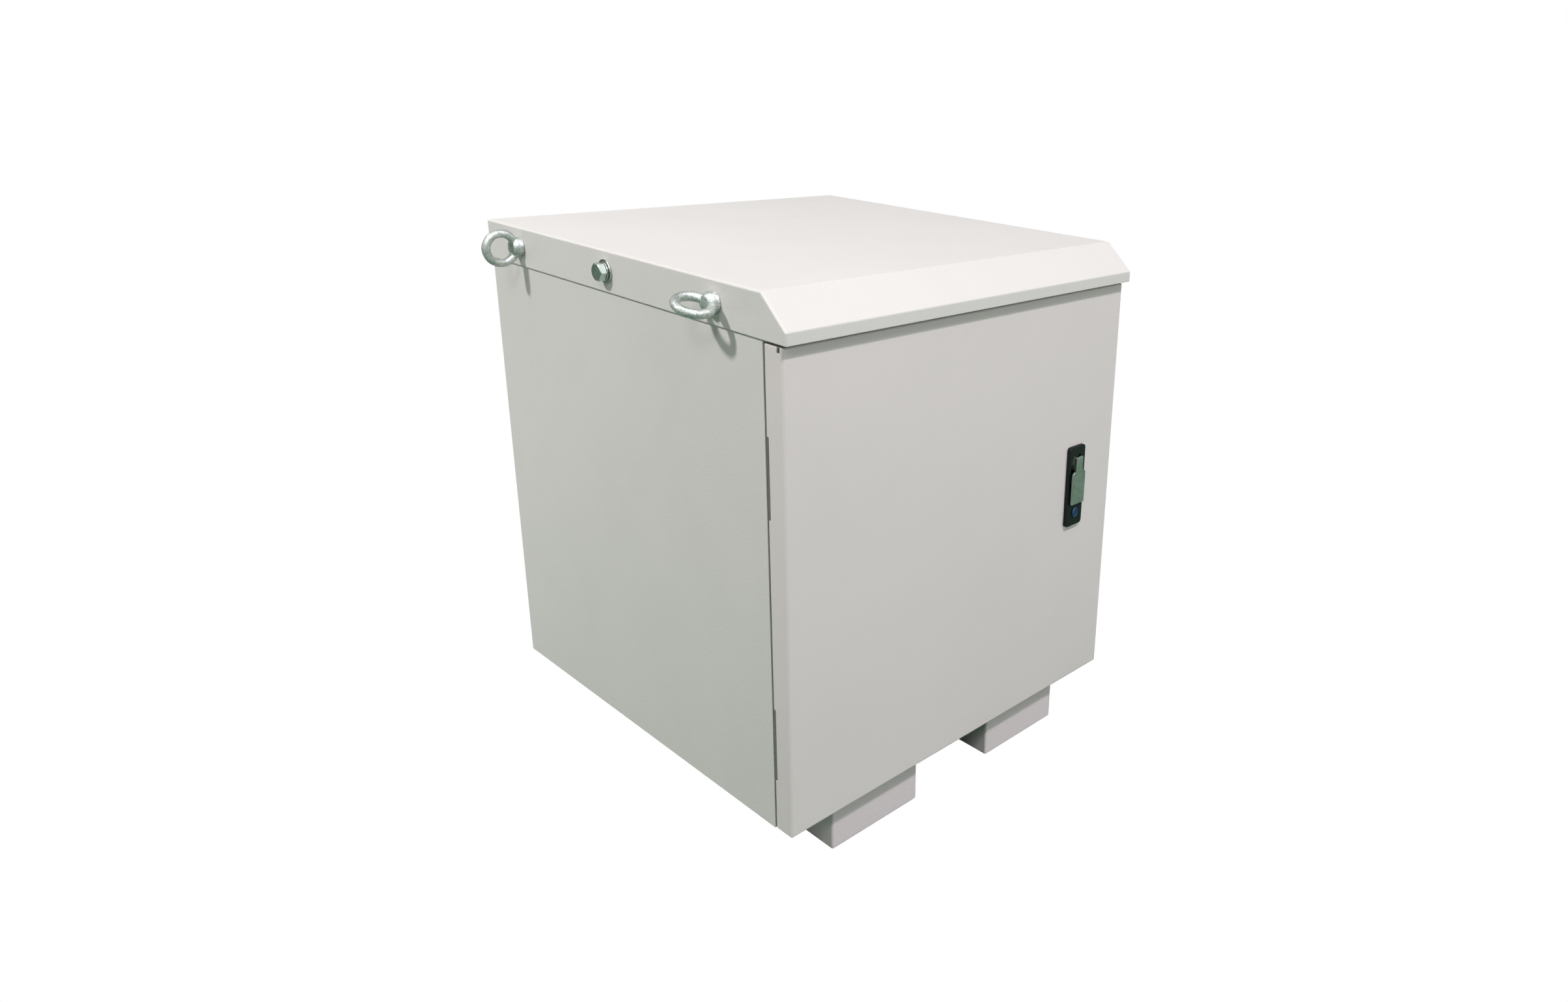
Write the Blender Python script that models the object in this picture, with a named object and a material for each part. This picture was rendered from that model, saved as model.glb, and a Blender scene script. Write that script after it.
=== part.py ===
"""Outdoor steel power cabinet with a dry-type transformer inside, a hinged door and four lifting eyes.

Metres, +Z up, -Y is the door side. The origin is the middle of the floor under the cabinet.
"""

import math

import bmesh
import bpy
from mathutils import Matrix, Vector

# Cabinet
CABINET_WIDTH = 0.550
CABINET_DEPTH = 0.590
DOOR_HEIGHT = 0.557
SHEET = 0.002
GAP = 0.0003
FLOOR_SHEET = 0.0025

# Roof, measured from the cabinet's outer faces and from the top of the door
ROOF_SIDE_REACH = 0.0025
ROOF_REAR_REACH = 0.0025
ROOF_LIP_REACH = 0.010
ROOF_RISE = 0.047
ROOF_SLOPE_DROP = 0.034
ROOF_SLOPE_SETBACK = 0.028
ROOF_DOOR_GAP = 0.004
ROOF_HEADROOM = 0.003

# Skids
SKID_WIDTH = 0.137
SKID_HEIGHT = 0.067
SKID_SPACING = 0.266
SKID_SETBACK = 0.0205
SKID_SHEET = 0.003
SKID_FLANGE = 0.032
SKID_ANCHOR_RADIUS = 0.007
SKID_ANCHOR_INSET = 0.060

# Door, frame and seal
DOOR_DEPTH = 0.027
DOOR_SEAM = 0.003
DOOR_SILL = 0.0017
COLLAR_INSET = 0.025
COLLAR_LENGTH = 0.018
SEAL_WIDTH = 0.012

# Hinges
HINGE_RISE = 0.107
HINGE_DROP = 0.140
HINGE_LENGTH = 0.084
HINGE_END_KNUCKLE = 0.018
HINGE_SLIT = 0.0005
HINGE_INSET = 0.0075
HINGE_BEHIND_FACE = 0.015
KNUCKLE_RADIUS = 0.0045
PIN_RADIUS = 0.0025
PIN_CLEARANCE = 0.0003
PIN_HEAD_HEIGHT = 0.0015
LEAF_SHEET = 0.002
NOTCH_DEPTH = 0.003
NOTCH_MARGIN = 0.003

# Lifting eyes and side bolts, as distances behind the door's face
FRONT_EYE = 0.1045
SIDE_BOLT = 0.310
REAR_EYE = 0.509
EYE_SHANK_RADIUS = 0.005
EYE_COLLAR_RADIUS = 0.0122
EYE_COLLAR_HEIGHT = 0.008
EYE_COLLAR_TAPER = 0.0012
EYE_BOSS_RADIUS = 0.008
EYE_BOSS_HEIGHT = 0.012
EYE_RING_RADIUS = 0.0178
EYE_SECTION_RADIUS = 0.0052
EYE_TURNS = {
    "left_front": math.radians(-20),
    "left_rear": math.radians(90),
    "right_front": math.radians(20),
    "right_rear": math.radians(14),
}
RAIL_THICKNESS = 0.008
RAIL_HEIGHT = 0.025
BOLT_RADIUS = 0.006
BOLT_HEAD_WIDTH = 0.019
BOLT_HEAD_HEIGHT = 0.0075
WASHER_RADIUS = 0.0135
WASHER_HEIGHT = 0.0018
SPRING_WASHER_RADIUS = 0.0108
BOLT_CLEARANCE = 0.0004

# Lock, measured on the door's face
LOCK_WIDTH = 0.0325
LOCK_HEIGHT = 0.112
LOCK_INSET = 0.0799
LOCK_BOTTOM = 0.239
LOCK_CORNER = 0.0045
LOCK_PROUD = 0.0053
LOCK_SEAL = 0.001
LOCK_BODY_DEPTH = 0.014
LOCK_RIM = 0.0022
SPINDLE_DROP = 0.023
SPINDLE_RADIUS = 0.005
WELL_RADIUS = 0.0118
WELL_DEPTH = 0.0085
WELL_LENGTH = 0.058
HEAD_RADIUS = 0.0105
HEAD_HEIGHT = 0.004
NECK_WIDTH = 0.0135
PADDLE_WIDTH = 0.0261
PADDLE_HEIGHT = 0.046
PADDLE_DROP = 0.0336
PADDLE_THICKNESS = 0.0026
PADDLE_CORNER = 0.003
EAR_RADIUS = 0.0022
TONGUE_WIDTH = 0.0050
PADDLE_PIN_RADIUS = 0.0010
PADDLE_PIN_DROP = 0.0157
KEY_DROP = 0.093
KEY_RADIUS = 0.004
KEY_CAP_WIDTH = 0.0115
KEY_CAP_HEIGHT = 0.0146
KEY_CAP_THICKNESS = 0.0016
KEY_SLOT_WIDTH = 0.0018
KEY_SLOT_LENGTH = 0.006
KEY_LENGTH = 0.024
CAM_THICKNESS = 0.003
CAM_WIDTH = 0.016
CAM_SQUARE = 0.0070
CAM_TIP_CLEARANCE = 0.0012
CAM_FRAME_CLEARANCE = 0.0015
NUT_WIDTH = 0.013
NUT_HEIGHT = 0.006
THREAD_RADIUS = 0.003

# Cable entries
GLAND_SPACING = 0.042
GLAND_SETBACK = 0.100
GLAND_BODY_RADIUS = 0.0120
GLAND_BORE_RADIUS = 0.0075
GLAND_NUT_WIDTH = 0.030
GLAND_NUT_HEIGHT = 0.006
GLAND_DOME_HEIGHT = 0.018
GLAND_DOME_BULGE = 0.001
GLAND_MOUTH_RADIUS = 0.0096

# Dry-type transformer
CORE_LIMB = 0.040
CORE_STACK = 0.060
CORE_WINDOW_WIDTH = 0.050
CORE_WINDOW_HEIGHT = 0.150
COIL_BUILD = 0.0235
COIL_END_CLEARANCE = 0.003
COIL_LIMB_CLEARANCE = 0.001
CORE_SETBACK = 0.455
CLAMP_LEG = 0.030
CLAMP_SHEET = 0.003
CLAMP_OVERHANG = 0.010

# Panel with the switchgear
PLATE_SETBACK = 0.330
PLATE_WIDTH = 0.440
PLATE_HEADROOM = 0.132
PLATE_FOOT = 0.030
RAIL_DROP = 0.080
RAIL_WIDTH = 0.035
RAIL_DEPTH = 0.0075
RAIL_LIP = 0.005
RAIL_SHEET = 0.001
RAIL_LENGTH = 0.380
BREAKER_SIZE = (0.072, 0.066, 0.085)
BREAKER_SHOULDER = 0.046
BREAKER_NOSE = 0.0425
BREAKER_OFFSET = -0.110
TOGGLE_RADIUS = 0.007
TOGGLE_WIDTH = 0.054
TOGGLE_REACH = 0.016
TOGGLE_LIFT = math.radians(25)
LEVER_THICKNESS = 0.0045
TERMINAL_SIZE = (0.160, 0.045, 0.050)
TERMINAL_OFFSET = 0.070
TERMINAL_COUNT = 8
TERMINAL_WALL = 0.0056
TERMINAL_SILL = 0.009
TERMINAL_POCKET_DEPTH = 0.0135
CONTROL_SIZE = (0.150, 0.055, 0.180)
CONTROL_EDGE = 0.003
CONTROL_OFFSET = -0.110
CONTROL_GAP = 0.0475
CAPACITOR_RADIUS = 0.038
CAPACITOR_HEIGHT = 0.150
CAPACITOR_SPACING = 0.086
CAPACITOR_RIM = 0.0015
CAPACITOR_POST_RADIUS = 0.012
CAPACITOR_POST_HEIGHT = 0.016
CAPACITOR_OFFSET = 0.065
CAPACITOR_SETBACK = 0.245
EARTH_OFFSET = -0.235
EARTH_SETBACK = 0.110
EARTH_RADIUS = 0.004
EARTH_NUT_WIDTH = 0.013
EARTH_NUT_HEIGHT = 0.0065
EARTH_BELOW = 0.004
EARTH_ABOVE = 0.026

SIDES = 24
FINE = 12

# Levels and planes that several pieces share
paddle_reach = LOCK_PROUD + GAP + 2 * EAR_RADIUS
front_reach = max(ROOF_LIP_REACH, paddle_reach)
face_y = -(CABINET_DEPTH + ROOF_REAR_REACH - front_reach) / 2
rear_y = face_y + CABINET_DEPTH
frame_y = face_y + DOOR_DEPTH + DOOR_SEAM
side_x = CABINET_WIDTH / 2
case_z = SKID_HEIGHT + GAP
floor_z = case_z + FLOOR_SHEET
door_z = case_z + DOOR_SILL
door_top = door_z + DOOR_HEIGHT
skirt_z = door_top + ROOF_DOOR_GAP
roof_z = skirt_z + ROOF_RISE
panel_top = roof_z - SHEET - ROOF_HEADROOM
bolt_z = skirt_z + ROOF_RISE / 2
skirt_x = side_x + ROOF_SIDE_REACH
collar_x = side_x - COLLAR_INSET
collar_low = door_z + COLLAR_INSET
collar_high = door_top - COLLAR_INSET
collar_y = frame_y - COLLAR_LENGTH
hinge_x = -side_x + HINGE_INSET
hinge_y = face_y + HINGE_BEHIND_FACE
lock_x = side_x - LOCK_INSET
lock_low = door_z + LOCK_BOTTOM
lock_high = lock_low + LOCK_HEIGHT
lock_front = face_y - LOCK_PROUD
spindle_z = lock_high - SPINDLE_DROP
paddle_pin_z = lock_high - PADDLE_PIN_DROP
paddle_pin_y = lock_front - GAP - EAR_RADIUS
key_z = lock_high - KEY_DROP
cam_y = frame_y + SHEET + CAM_FRAME_CLEARANCE
plate_y = face_y + PLATE_SETBACK
plate_top = panel_top - PLATE_HEADROOM
rail_z = plate_top - RAIL_DROP
rail_y = plate_y - GAP

# Each frame turns a shape's own Z to the named side, with its Y upwards where it can be
FRAMES = {
    "up": Matrix.Identity(3),
    "right": Matrix(((0, 0, 1), (1, 0, 0), (0, 1, 0))),
    "left": Matrix(((0, 0, -1), (-1, 0, 0), (0, 1, 0))),
    "front": Matrix(((1, 0, 0), (0, 0, -1), (0, 1, 0))),
}


def make_finish(name, colour, roughness, metallic):
    finish = bpy.data.materials.new(name)
    finish.use_nodes = True
    shader = finish.node_tree.nodes["Principled BSDF"]
    shader.inputs["Base Color"].default_value = (*colour, 1)
    shader.inputs["Roughness"].default_value = roughness
    shader.inputs["Metallic"].default_value = metallic
    return finish


def add_piece(name, bm, finish, location=(0, 0, 0), facing="up", smooth=True):
    """Turn a finished bmesh into a named object, placed and turned as asked."""
    bmesh.ops.recalc_face_normals(bm, faces=bm.faces)
    mesh = bpy.data.meshes.new(name)
    bm.to_mesh(mesh)
    bm.free()
    if finish:
        mesh.materials.append(finish)
    if smooth:
        mesh.shade_smooth()
        mesh.set_sharp_from_angle(angle=math.radians(30))
    piece = bpy.data.objects.new(name, mesh)
    piece.matrix_world = Matrix.Translation(location) @ FRAMES[facing].to_4x4()
    bpy.context.scene.collection.objects.link(piece)
    return piece


def box(name, low, high, finish=None):
    """Block between two corners."""
    low, high = Vector(low), Vector(high)
    bm = bmesh.new()
    bmesh.ops.create_cube(bm, size=1)
    bmesh.ops.scale(bm, vec=high - low, verts=bm.verts)
    return add_piece(name, bm, finish, (low + high) / 2, smooth=False)


def prism(name, outline, start, end, finish=None, location=(0, 0, 0), facing="up"):
    """Flat outline in the shape's own XY, extruded from start to end along its Z."""
    bm = bmesh.new()
    base = bm.faces.new([bm.verts.new((x, y, start)) for x, y in outline])
    grown = bmesh.ops.extrude_face_region(bm, geom=[base])["geom"]
    tops = [item for item in grown if isinstance(item, bmesh.types.BMVert)]
    bmesh.ops.translate(bm, vec=(0, 0, end - start), verts=tops)
    return add_piece(name, bm, finish, location, facing)


def turned(name, profile, finish=None, location=(0, 0, 0), facing="up", sides=SIDES):
    """Profile of (radius, height) points turned round the shape's Z.

    It ends on the axis at both ends for a solid, and is a loop clear of the axis for a ring.
    """
    bm = bmesh.new()
    rings = []
    for radius, height in profile:
        if radius == 0:
            rings.append([bm.verts.new((0, 0, height))] * sides)
            continue
        turns = [2 * math.pi * step / sides for step in range(sides)]
        rings.append([bm.verts.new((radius * math.cos(t), radius * math.sin(t), height)) for t in turns])
    pairs = list(zip(rings, rings[1:]))
    if profile[0][0] > 0:
        pairs.append((rings[-1], rings[0]))
    for first, second in pairs:
        for here in range(sides):
            there = (here + 1) % sides
            corners = dict.fromkeys((first[here], first[there], second[there], second[here]))
            if len(corners) > 2:
                bm.faces.new(corners)
    return add_piece(name, bm, finish, location, facing)


def rounded_outline(width, height, radius, steps=5):
    """Rectangle round the origin with round corners."""
    points = []
    for turn, (sign_x, sign_y) in enumerate(((1, 1), (-1, 1), (-1, -1), (1, -1))):
        for step in range(steps + 1):
            angle = math.pi / 2 * (turn + step / steps)
            points.append(
                (
                    sign_x * (width / 2 - radius) + radius * math.cos(angle),
                    sign_y * (height / 2 - radius) + radius * math.sin(angle),
                )
            )
    return points


def ellipse_outline(width, height, sides=SIDES):
    turns = [2 * math.pi * step / sides for step in range(sides)]
    return [(width / 2 * math.cos(t), height / 2 * math.sin(t)) for t in turns]


def hex_outline(across_flats):
    radius = across_flats / math.sqrt(3)
    return [(radius * math.cos(math.pi / 3 * k), radius * math.sin(math.pi / 3 * k)) for k in range(6)]


def combine(piece, helper, operation):
    helper.hide_render = True
    helper.display_type = "WIRE"
    modifier = piece.modifiers.new(helper.name, "BOOLEAN")
    modifier.operation = operation
    modifier.solver = "EXACT"
    modifier.object = helper


def cut(piece, helper):
    combine(piece, helper, "DIFFERENCE")


def weld(piece, helper):
    combine(piece, helper, "UNION")


def drill(piece, name, radius, start, end, location, facing, sides=SIDES):
    """Round hole whose flats lie outside the given radius."""
    reach = radius / math.cos(math.pi / sides)
    cut(piece, turned(name, rod_profile(reach, start, end), None, location, facing, sides))


def rod_profile(radius, start, end):
    return [(0, start), (radius, start), (radius, end), (0, end)]


def axis_empty(name, location, parent=None):
    axis = bpy.data.objects.new(name, None)
    axis.location = location
    axis.empty_display_size = 0.03
    bpy.context.scene.collection.objects.link(axis)
    bpy.context.view_layer.update()
    if parent:
        hang([axis], parent)
    return axis


def hang(pieces, parent):
    """Parent pieces to an axis without moving them."""
    bpy.context.view_layer.update()
    for piece in pieces:
        placed = piece.matrix_world.copy()
        piece.parent = parent
        piece.matrix_parent_inverse = parent.matrix_world.inverted()
        piece.matrix_world = placed


def build_side_panels(finish):
    panels = {}
    for side, sign in (("left", -1), ("right", 1)):
        near, far = sorted((sign * side_x, sign * (side_x - SHEET)))
        panel = box(f"{side}_panel", (near, frame_y, case_z), (far, rear_y, panel_top), finish)
        panels[side] = panel
    low = (-side_x + SHEET + GAP, rear_y - SHEET, case_z)
    high = (side_x - SHEET - GAP, rear_y, panel_top)
    box("rear_panel", low, high, finish)
    return panels


def build_floor(finish):
    edge = side_x - SHEET - GAP
    floor = box("floor_plate", (-edge, frame_y, case_z), (edge, rear_y - SHEET - GAP, floor_z), finish)
    for number, x in enumerate(gland_places(), 1):
        place = (x, face_y + GLAND_SETBACK, case_z)
        drill(floor, f"gland_hole_{number}", GLAND_BODY_RADIUS + GAP, -0.01, 0.02, place, "up")
    earth = (EARTH_OFFSET, face_y + EARTH_SETBACK, case_z)
    drill(floor, "earth_hole", EARTH_RADIUS + GAP, -0.01, 0.02, earth, "up", FINE)
    return floor


def build_front_frame(finish):
    edge = side_x - SHEET - GAP
    frame = box("front_frame", (-edge, frame_y, floor_z + GAP), (edge, frame_y + SHEET, panel_top), finish)
    collar = box(
        "collar_block",
        (-collar_x, collar_y, collar_low),
        (collar_x, frame_y + SHEET, collar_high),
    )
    weld(frame, collar)
    opening = box(
        "door_opening",
        (-collar_x + SHEET, collar_y - SHEET, collar_low + SHEET),
        (collar_x - SHEET, frame_y + 2 * SHEET, collar_high - SHEET),
    )
    cut(frame, opening)
    return frame


def roof_outline(inset):
    """Side view of the roof as (depth, height), drawn in by the given sheet thickness."""
    front = face_y - ROOF_LIP_REACH
    slope_top = face_y + ROOF_SLOPE_SETBACK
    slope_bottom = roof_z - ROOF_SLOPE_DROP
    run = slope_top - front
    slope = math.hypot(run, ROOF_SLOPE_DROP)
    drift_top = inset * (slope - run) / ROOF_SLOPE_DROP
    drift_bottom = inset * (slope - ROOF_SLOPE_DROP) / run
    bottom = skirt_z - inset
    return [
        (front + inset, bottom),
        (front + inset, slope_bottom - drift_bottom),
        (slope_top + drift_top, roof_z - inset),
        (rear_y + ROOF_REAR_REACH - inset, roof_z - inset),
        (rear_y + ROOF_REAR_REACH - inset, bottom),
    ]


def build_roof(finish):
    roof = prism("roof", roof_outline(0), -skirt_x, skirt_x, finish, facing="right")
    hollow = prism("roof_hollow", roof_outline(SHEET), -skirt_x + SHEET, skirt_x - SHEET, facing="right")
    cut(roof, hollow)
    return roof


def build_skids(finish):
    length = CABINET_DEPTH - 2 * SKID_SETBACK
    near = face_y + SKID_SETBACK
    for side, sign in (("left", -1), ("right", 1)):
        middle = sign * SKID_SPACING / 2
        low_x, high_x = middle - SKID_WIDTH / 2, middle + SKID_WIDTH / 2
        skid = box(f"{side}_skid", (low_x, near, 0), (high_x, near + length, SKID_HEIGHT), finish)
        inner_low = (low_x + SKID_SHEET, near + SKID_SHEET, SKID_SHEET)
        inner_high = (high_x - SKID_SHEET, near + length - SKID_SHEET, SKID_HEIGHT - SKID_SHEET)
        hollow = box(f"{side}_skid_hollow", inner_low, inner_high)
        slot = box(
            f"{side}_skid_slot",
            (low_x + SKID_FLANGE, near + SKID_FLANGE, -SKID_SHEET),
            (high_x - SKID_FLANGE, near + length - SKID_FLANGE, SKID_HEIGHT / 2),
        )
        cut(skid, hollow)
        cut(skid, slot)
        for end, y in (("front", near + SKID_ANCHOR_INSET), ("rear", near + length - SKID_ANCHOR_INSET)):
            place = (middle + sign * (SKID_WIDTH - SKID_FLANGE) / 2, y, 0)
            drill(skid, f"{side}_{end}_anchor", SKID_ANCHOR_RADIUS, -0.01, 0.01, place, "up", FINE)


def side_bolt_places():
    return {"front": face_y + FRONT_EYE, "middle": face_y + SIDE_BOLT, "rear": face_y + REAR_EYE}


def build_lifting_rails(finish):
    """Bars inside the side panels that the eyes and the side bolts screw into."""
    rails = {}
    for side, sign in (("left", -1), ("right", 1)):
        near, far = sorted((sign * (side_x - SHEET - GAP), sign * (side_x - SHEET - GAP - RAIL_THICKNESS)))
        rail = box(
            f"{side}_lifting_rail",
            (near, frame_y + SHEET + GAP, bolt_z - RAIL_HEIGHT / 2),
            (far, rear_y - SHEET - GAP, bolt_z + RAIL_HEIGHT / 2),
            finish,
        )
        rails[side] = rail
    return rails


def drill_side_holes(roof, panels, rails):
    for side in ("left", "right"):
        sign = -1 if side == "left" else 1
        for place, y in side_bolt_places().items():
            radius = (BOLT_RADIUS if place == "middle" else EYE_SHANK_RADIUS) + BOLT_CLEARANCE
            where = (sign * side_x, y, bolt_z)
            for piece in (roof, panels[side], rails[side]):
                drill(piece, f"{piece.name}_{side}_{place}_hole", radius, -0.03, 0.01, where, side, FINE)


def build_eye_bolt(side, place, finish):
    """Shank, collar, boss and ring in one forging, along the shape's Z."""
    sign = -1 if side == "left" else 1
    y = side_bolt_places()[place]
    seat = (sign * (skirt_x + GAP), y, bolt_z)
    shank_length = ROOF_SIDE_REACH + SHEET + 2 * GAP + RAIL_THICKNESS
    centre = GAP + EYE_RING_RADIUS + EYE_SECTION_RADIUS
    profile = [
        (0, -shank_length),
        (EYE_SHANK_RADIUS, -shank_length),
        (EYE_SHANK_RADIUS, 0),
        (EYE_COLLAR_RADIUS, 0),
        (EYE_COLLAR_RADIUS - EYE_COLLAR_TAPER, EYE_COLLAR_HEIGHT),
        (EYE_BOSS_RADIUS, EYE_BOSS_HEIGHT),
        (0, EYE_BOSS_HEIGHT),
    ]
    name = f"{side}_{place}_eye_bolt"
    eye = turned(name, profile, finish, seat, side)
    turns = [2 * math.pi * step / FINE for step in range(FINE)]
    section = [
        (EYE_RING_RADIUS + EYE_SECTION_RADIUS * math.cos(t), EYE_SECTION_RADIUS * math.sin(t)) for t in turns
    ]
    ring = turned(f"{name}_ring", section)
    upright = FRAMES[side].to_4x4()
    spin = Matrix.Rotation(EYE_TURNS[f"{side}_{place}"], 4, "Z") @ Matrix.Rotation(math.pi / 2, 4, "X")
    ring.matrix_world = Matrix.Translation(seat) @ upright @ Matrix.Translation((0, 0, centre)) @ spin
    weld(eye, ring)
    return eye


def build_side_bolt(side, finish, washer_finish):
    sign = -1 if side == "left" else 1
    y = side_bolt_places()["middle"]
    bore = BOLT_RADIUS + BOLT_CLEARANCE
    level = skirt_x + GAP
    for kind, radius in (("flat_washer", WASHER_RADIUS), ("spring_washer", SPRING_WASHER_RADIUS)):
        profile = [(bore, 0), (radius, 0), (radius, WASHER_HEIGHT), (bore, WASHER_HEIGHT)]
        turned(f"{side}_{kind}", profile, washer_finish, (sign * level, y, bolt_z), side)
        level += WASHER_HEIGHT + GAP
    shank = level - side_x + SHEET + GAP + RAIL_THICKNESS
    seat = (sign * level, y, bolt_z)
    bolt = prism(f"{side}_side_bolt", hex_outline(BOLT_HEAD_WIDTH), 0, BOLT_HEAD_HEIGHT, finish, seat, side)
    profile = rod_profile(BOLT_RADIUS, -shank, BOLT_HEAD_HEIGHT / 2)
    weld(bolt, turned(f"{side}_side_bolt_shank", profile, None, seat, side, FINE))


def build_door(finish):
    door = box("door", (-side_x, face_y, door_z), (side_x, face_y + DOOR_DEPTH, door_top), finish)
    hollow = box(
        "door_hollow",
        (-side_x + SHEET, face_y + SHEET, door_z + SHEET),
        (side_x - SHEET, face_y + DOOR_DEPTH + SHEET, door_top - SHEET),
    )
    cut(door, hollow)
    for name, level in hinge_levels().items():
        reach = HINGE_LENGTH / 2 + NOTCH_MARGIN
        notch = box(
            f"{name}_notch",
            (-side_x - SHEET, face_y + DOOR_DEPTH - NOTCH_DEPTH, level - reach),
            (-side_x + 2 * SHEET, face_y + DOOR_DEPTH + SHEET, level + reach),
        )
        cut(door, notch)
    centre = (lock_x, face_y, (lock_low + lock_high) / 2)
    cut(door, prism("lock_cutout", lock_cutout_outline(), -0.01, 0.01, None, centre, "front"))
    return door


def lock_cutout_outline():
    width = LOCK_WIDTH - 2 * LOCK_RIM + 2 * GAP
    height = LOCK_HEIGHT - 2 * LOCK_RIM + 2 * GAP
    return rounded_outline(width, height, LOCK_CORNER - LOCK_RIM + GAP)


def build_door_seal(finish):
    depth = collar_y - GAP
    middle = COLLAR_INSET + SHEET / 2
    outer, inner = middle - SEAL_WIDTH / 2, middle + SEAL_WIDTH / 2
    near = face_y + SHEET + GAP
    seal = box(
        "door_seal",
        (-side_x + outer, near, door_z + outer),
        (side_x - outer, depth, door_top - outer),
        finish,
    )
    hole = box(
        "door_seal_hole",
        (-side_x + inner, near - SHEET, door_z + inner),
        (side_x - inner, depth + SHEET, door_top - inner),
    )
    cut(seal, hole)
    return seal


def hinge_levels():
    return {"lower": door_z + HINGE_RISE, "upper": door_top - HINGE_DROP}


def knuckle(name, start, end, level, finish=None):
    bore = PIN_RADIUS + PIN_CLEARANCE
    profile = [(bore, start), (KNUCKLE_RADIUS, start), (KNUCKLE_RADIUS, end), (bore, end)]
    return turned(name, profile, finish, (hinge_x, hinge_y, level), "up")


def build_hinge(name, level, finish, pin_finish):
    """Fixed leaf on the frame's collar, moving leaf on the door's inner face, and the pin through both."""
    half = HINGE_LENGTH / 2
    middle = half - HINGE_END_KNUCKLE - HINGE_SLIT
    bore = PIN_RADIUS + PIN_CLEARANCE
    plate_x = -collar_x - GAP
    arm_low = hinge_y - LEAF_SHEET - HINGE_SLIT
    arm_high = hinge_y - HINGE_SLIT
    fixed = box(
        f"{name}_hinge_fixed_leaf",
        (plate_x - LEAF_SHEET, arm_low, level - half),
        (plate_x, frame_y - GAP, level + half),
        finish,
    )
    inner = half - HINGE_END_KNUCKLE
    for end, start, stop in (("top", inner, half), ("foot", -half, -inner)):
        arm = box(
            f"{name}_{end}_arm",
            (hinge_x + bore, arm_low, level + start),
            (plate_x - LEAF_SHEET / 2, arm_high, level + stop),
        )
        weld(fixed, arm)
        weld(fixed, knuckle(f"{name}_{end}_knuckle", start, stop, level))
    face = face_y + SHEET + GAP
    seal_edge = -side_x + COLLAR_INSET + SHEET / 2 - SEAL_WIDTH / 2
    moving = box(
        f"{name}_hinge_moving_leaf",
        (hinge_x - KNUCKLE_RADIUS, face, level - half),
        (seal_edge - 2 * GAP, face + LEAF_SHEET, level + half),
        finish,
    )
    lug = box(
        f"{name}_lug",
        (hinge_x - LEAF_SHEET, face + LEAF_SHEET / 2, level - middle),
        (hinge_x + LEAF_SHEET, hinge_y - bore, level + middle),
    )
    weld(moving, lug)
    weld(moving, knuckle(f"{name}_middle_knuckle", -middle, middle, level))
    head = KNUCKLE_RADIUS - PIN_CLEARANCE
    top = half + GAP
    end = top + PIN_HEAD_HEIGHT
    profile = [(0, -half), (PIN_RADIUS, -half), (PIN_RADIUS, top), (head, top), (head, end), (0, end)]
    pin = turned(f"{name}_hinge_pin", profile, pin_finish, (hinge_x, hinge_y, level), "up")
    return fixed, moving, pin


def build_lock_case(case_finish, seal_finish):
    centre = (lock_x, face_y, (lock_low + lock_high) / 2)
    rim = rounded_outline(LOCK_WIDTH, LOCK_HEIGHT, LOCK_CORNER)
    body = rounded_outline(LOCK_WIDTH - 2 * LOCK_RIM, LOCK_HEIGHT - 2 * LOCK_RIM, LOCK_CORNER - LOCK_RIM)
    seal = prism("lock_seal", rim, GAP, GAP + LOCK_SEAL, seal_finish, centre, "front")
    cut(seal, prism("lock_seal_hole", lock_cutout_outline(), -0.01, 0.01, None, centre, "front"))
    case = prism("lock_case", rim, 2 * GAP + LOCK_SEAL, LOCK_PROUD, case_finish, centre, "front")
    back = -LOCK_BODY_DEPTH
    weld(case, prism("lock_case_body", body, back, LOCK_PROUD - LOCK_RIM, None, centre, "front"))
    well = [(-WELL_RADIUS, -WELL_LENGTH), (WELL_RADIUS, -WELL_LENGTH)]
    for step in range(SIDES // 2 + 1):
        angle = 2 * math.pi * step / SIDES
        well.append((WELL_RADIUS * math.cos(angle), WELL_RADIUS * math.sin(angle)))
    axis = (lock_x, face_y, spindle_z)
    cut(case, prism("lock_well", well, LOCK_PROUD - WELL_DEPTH, 0.02, None, axis, "front"))
    drill(case, "spindle_hole", SPINDLE_RADIUS + GAP, -0.03, 0.02, axis, "front")
    drill(case, "key_hole", KEY_RADIUS + GAP, -0.03, 0.02, (lock_x, face_y, key_z), "front")
    return [case, seal]


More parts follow.
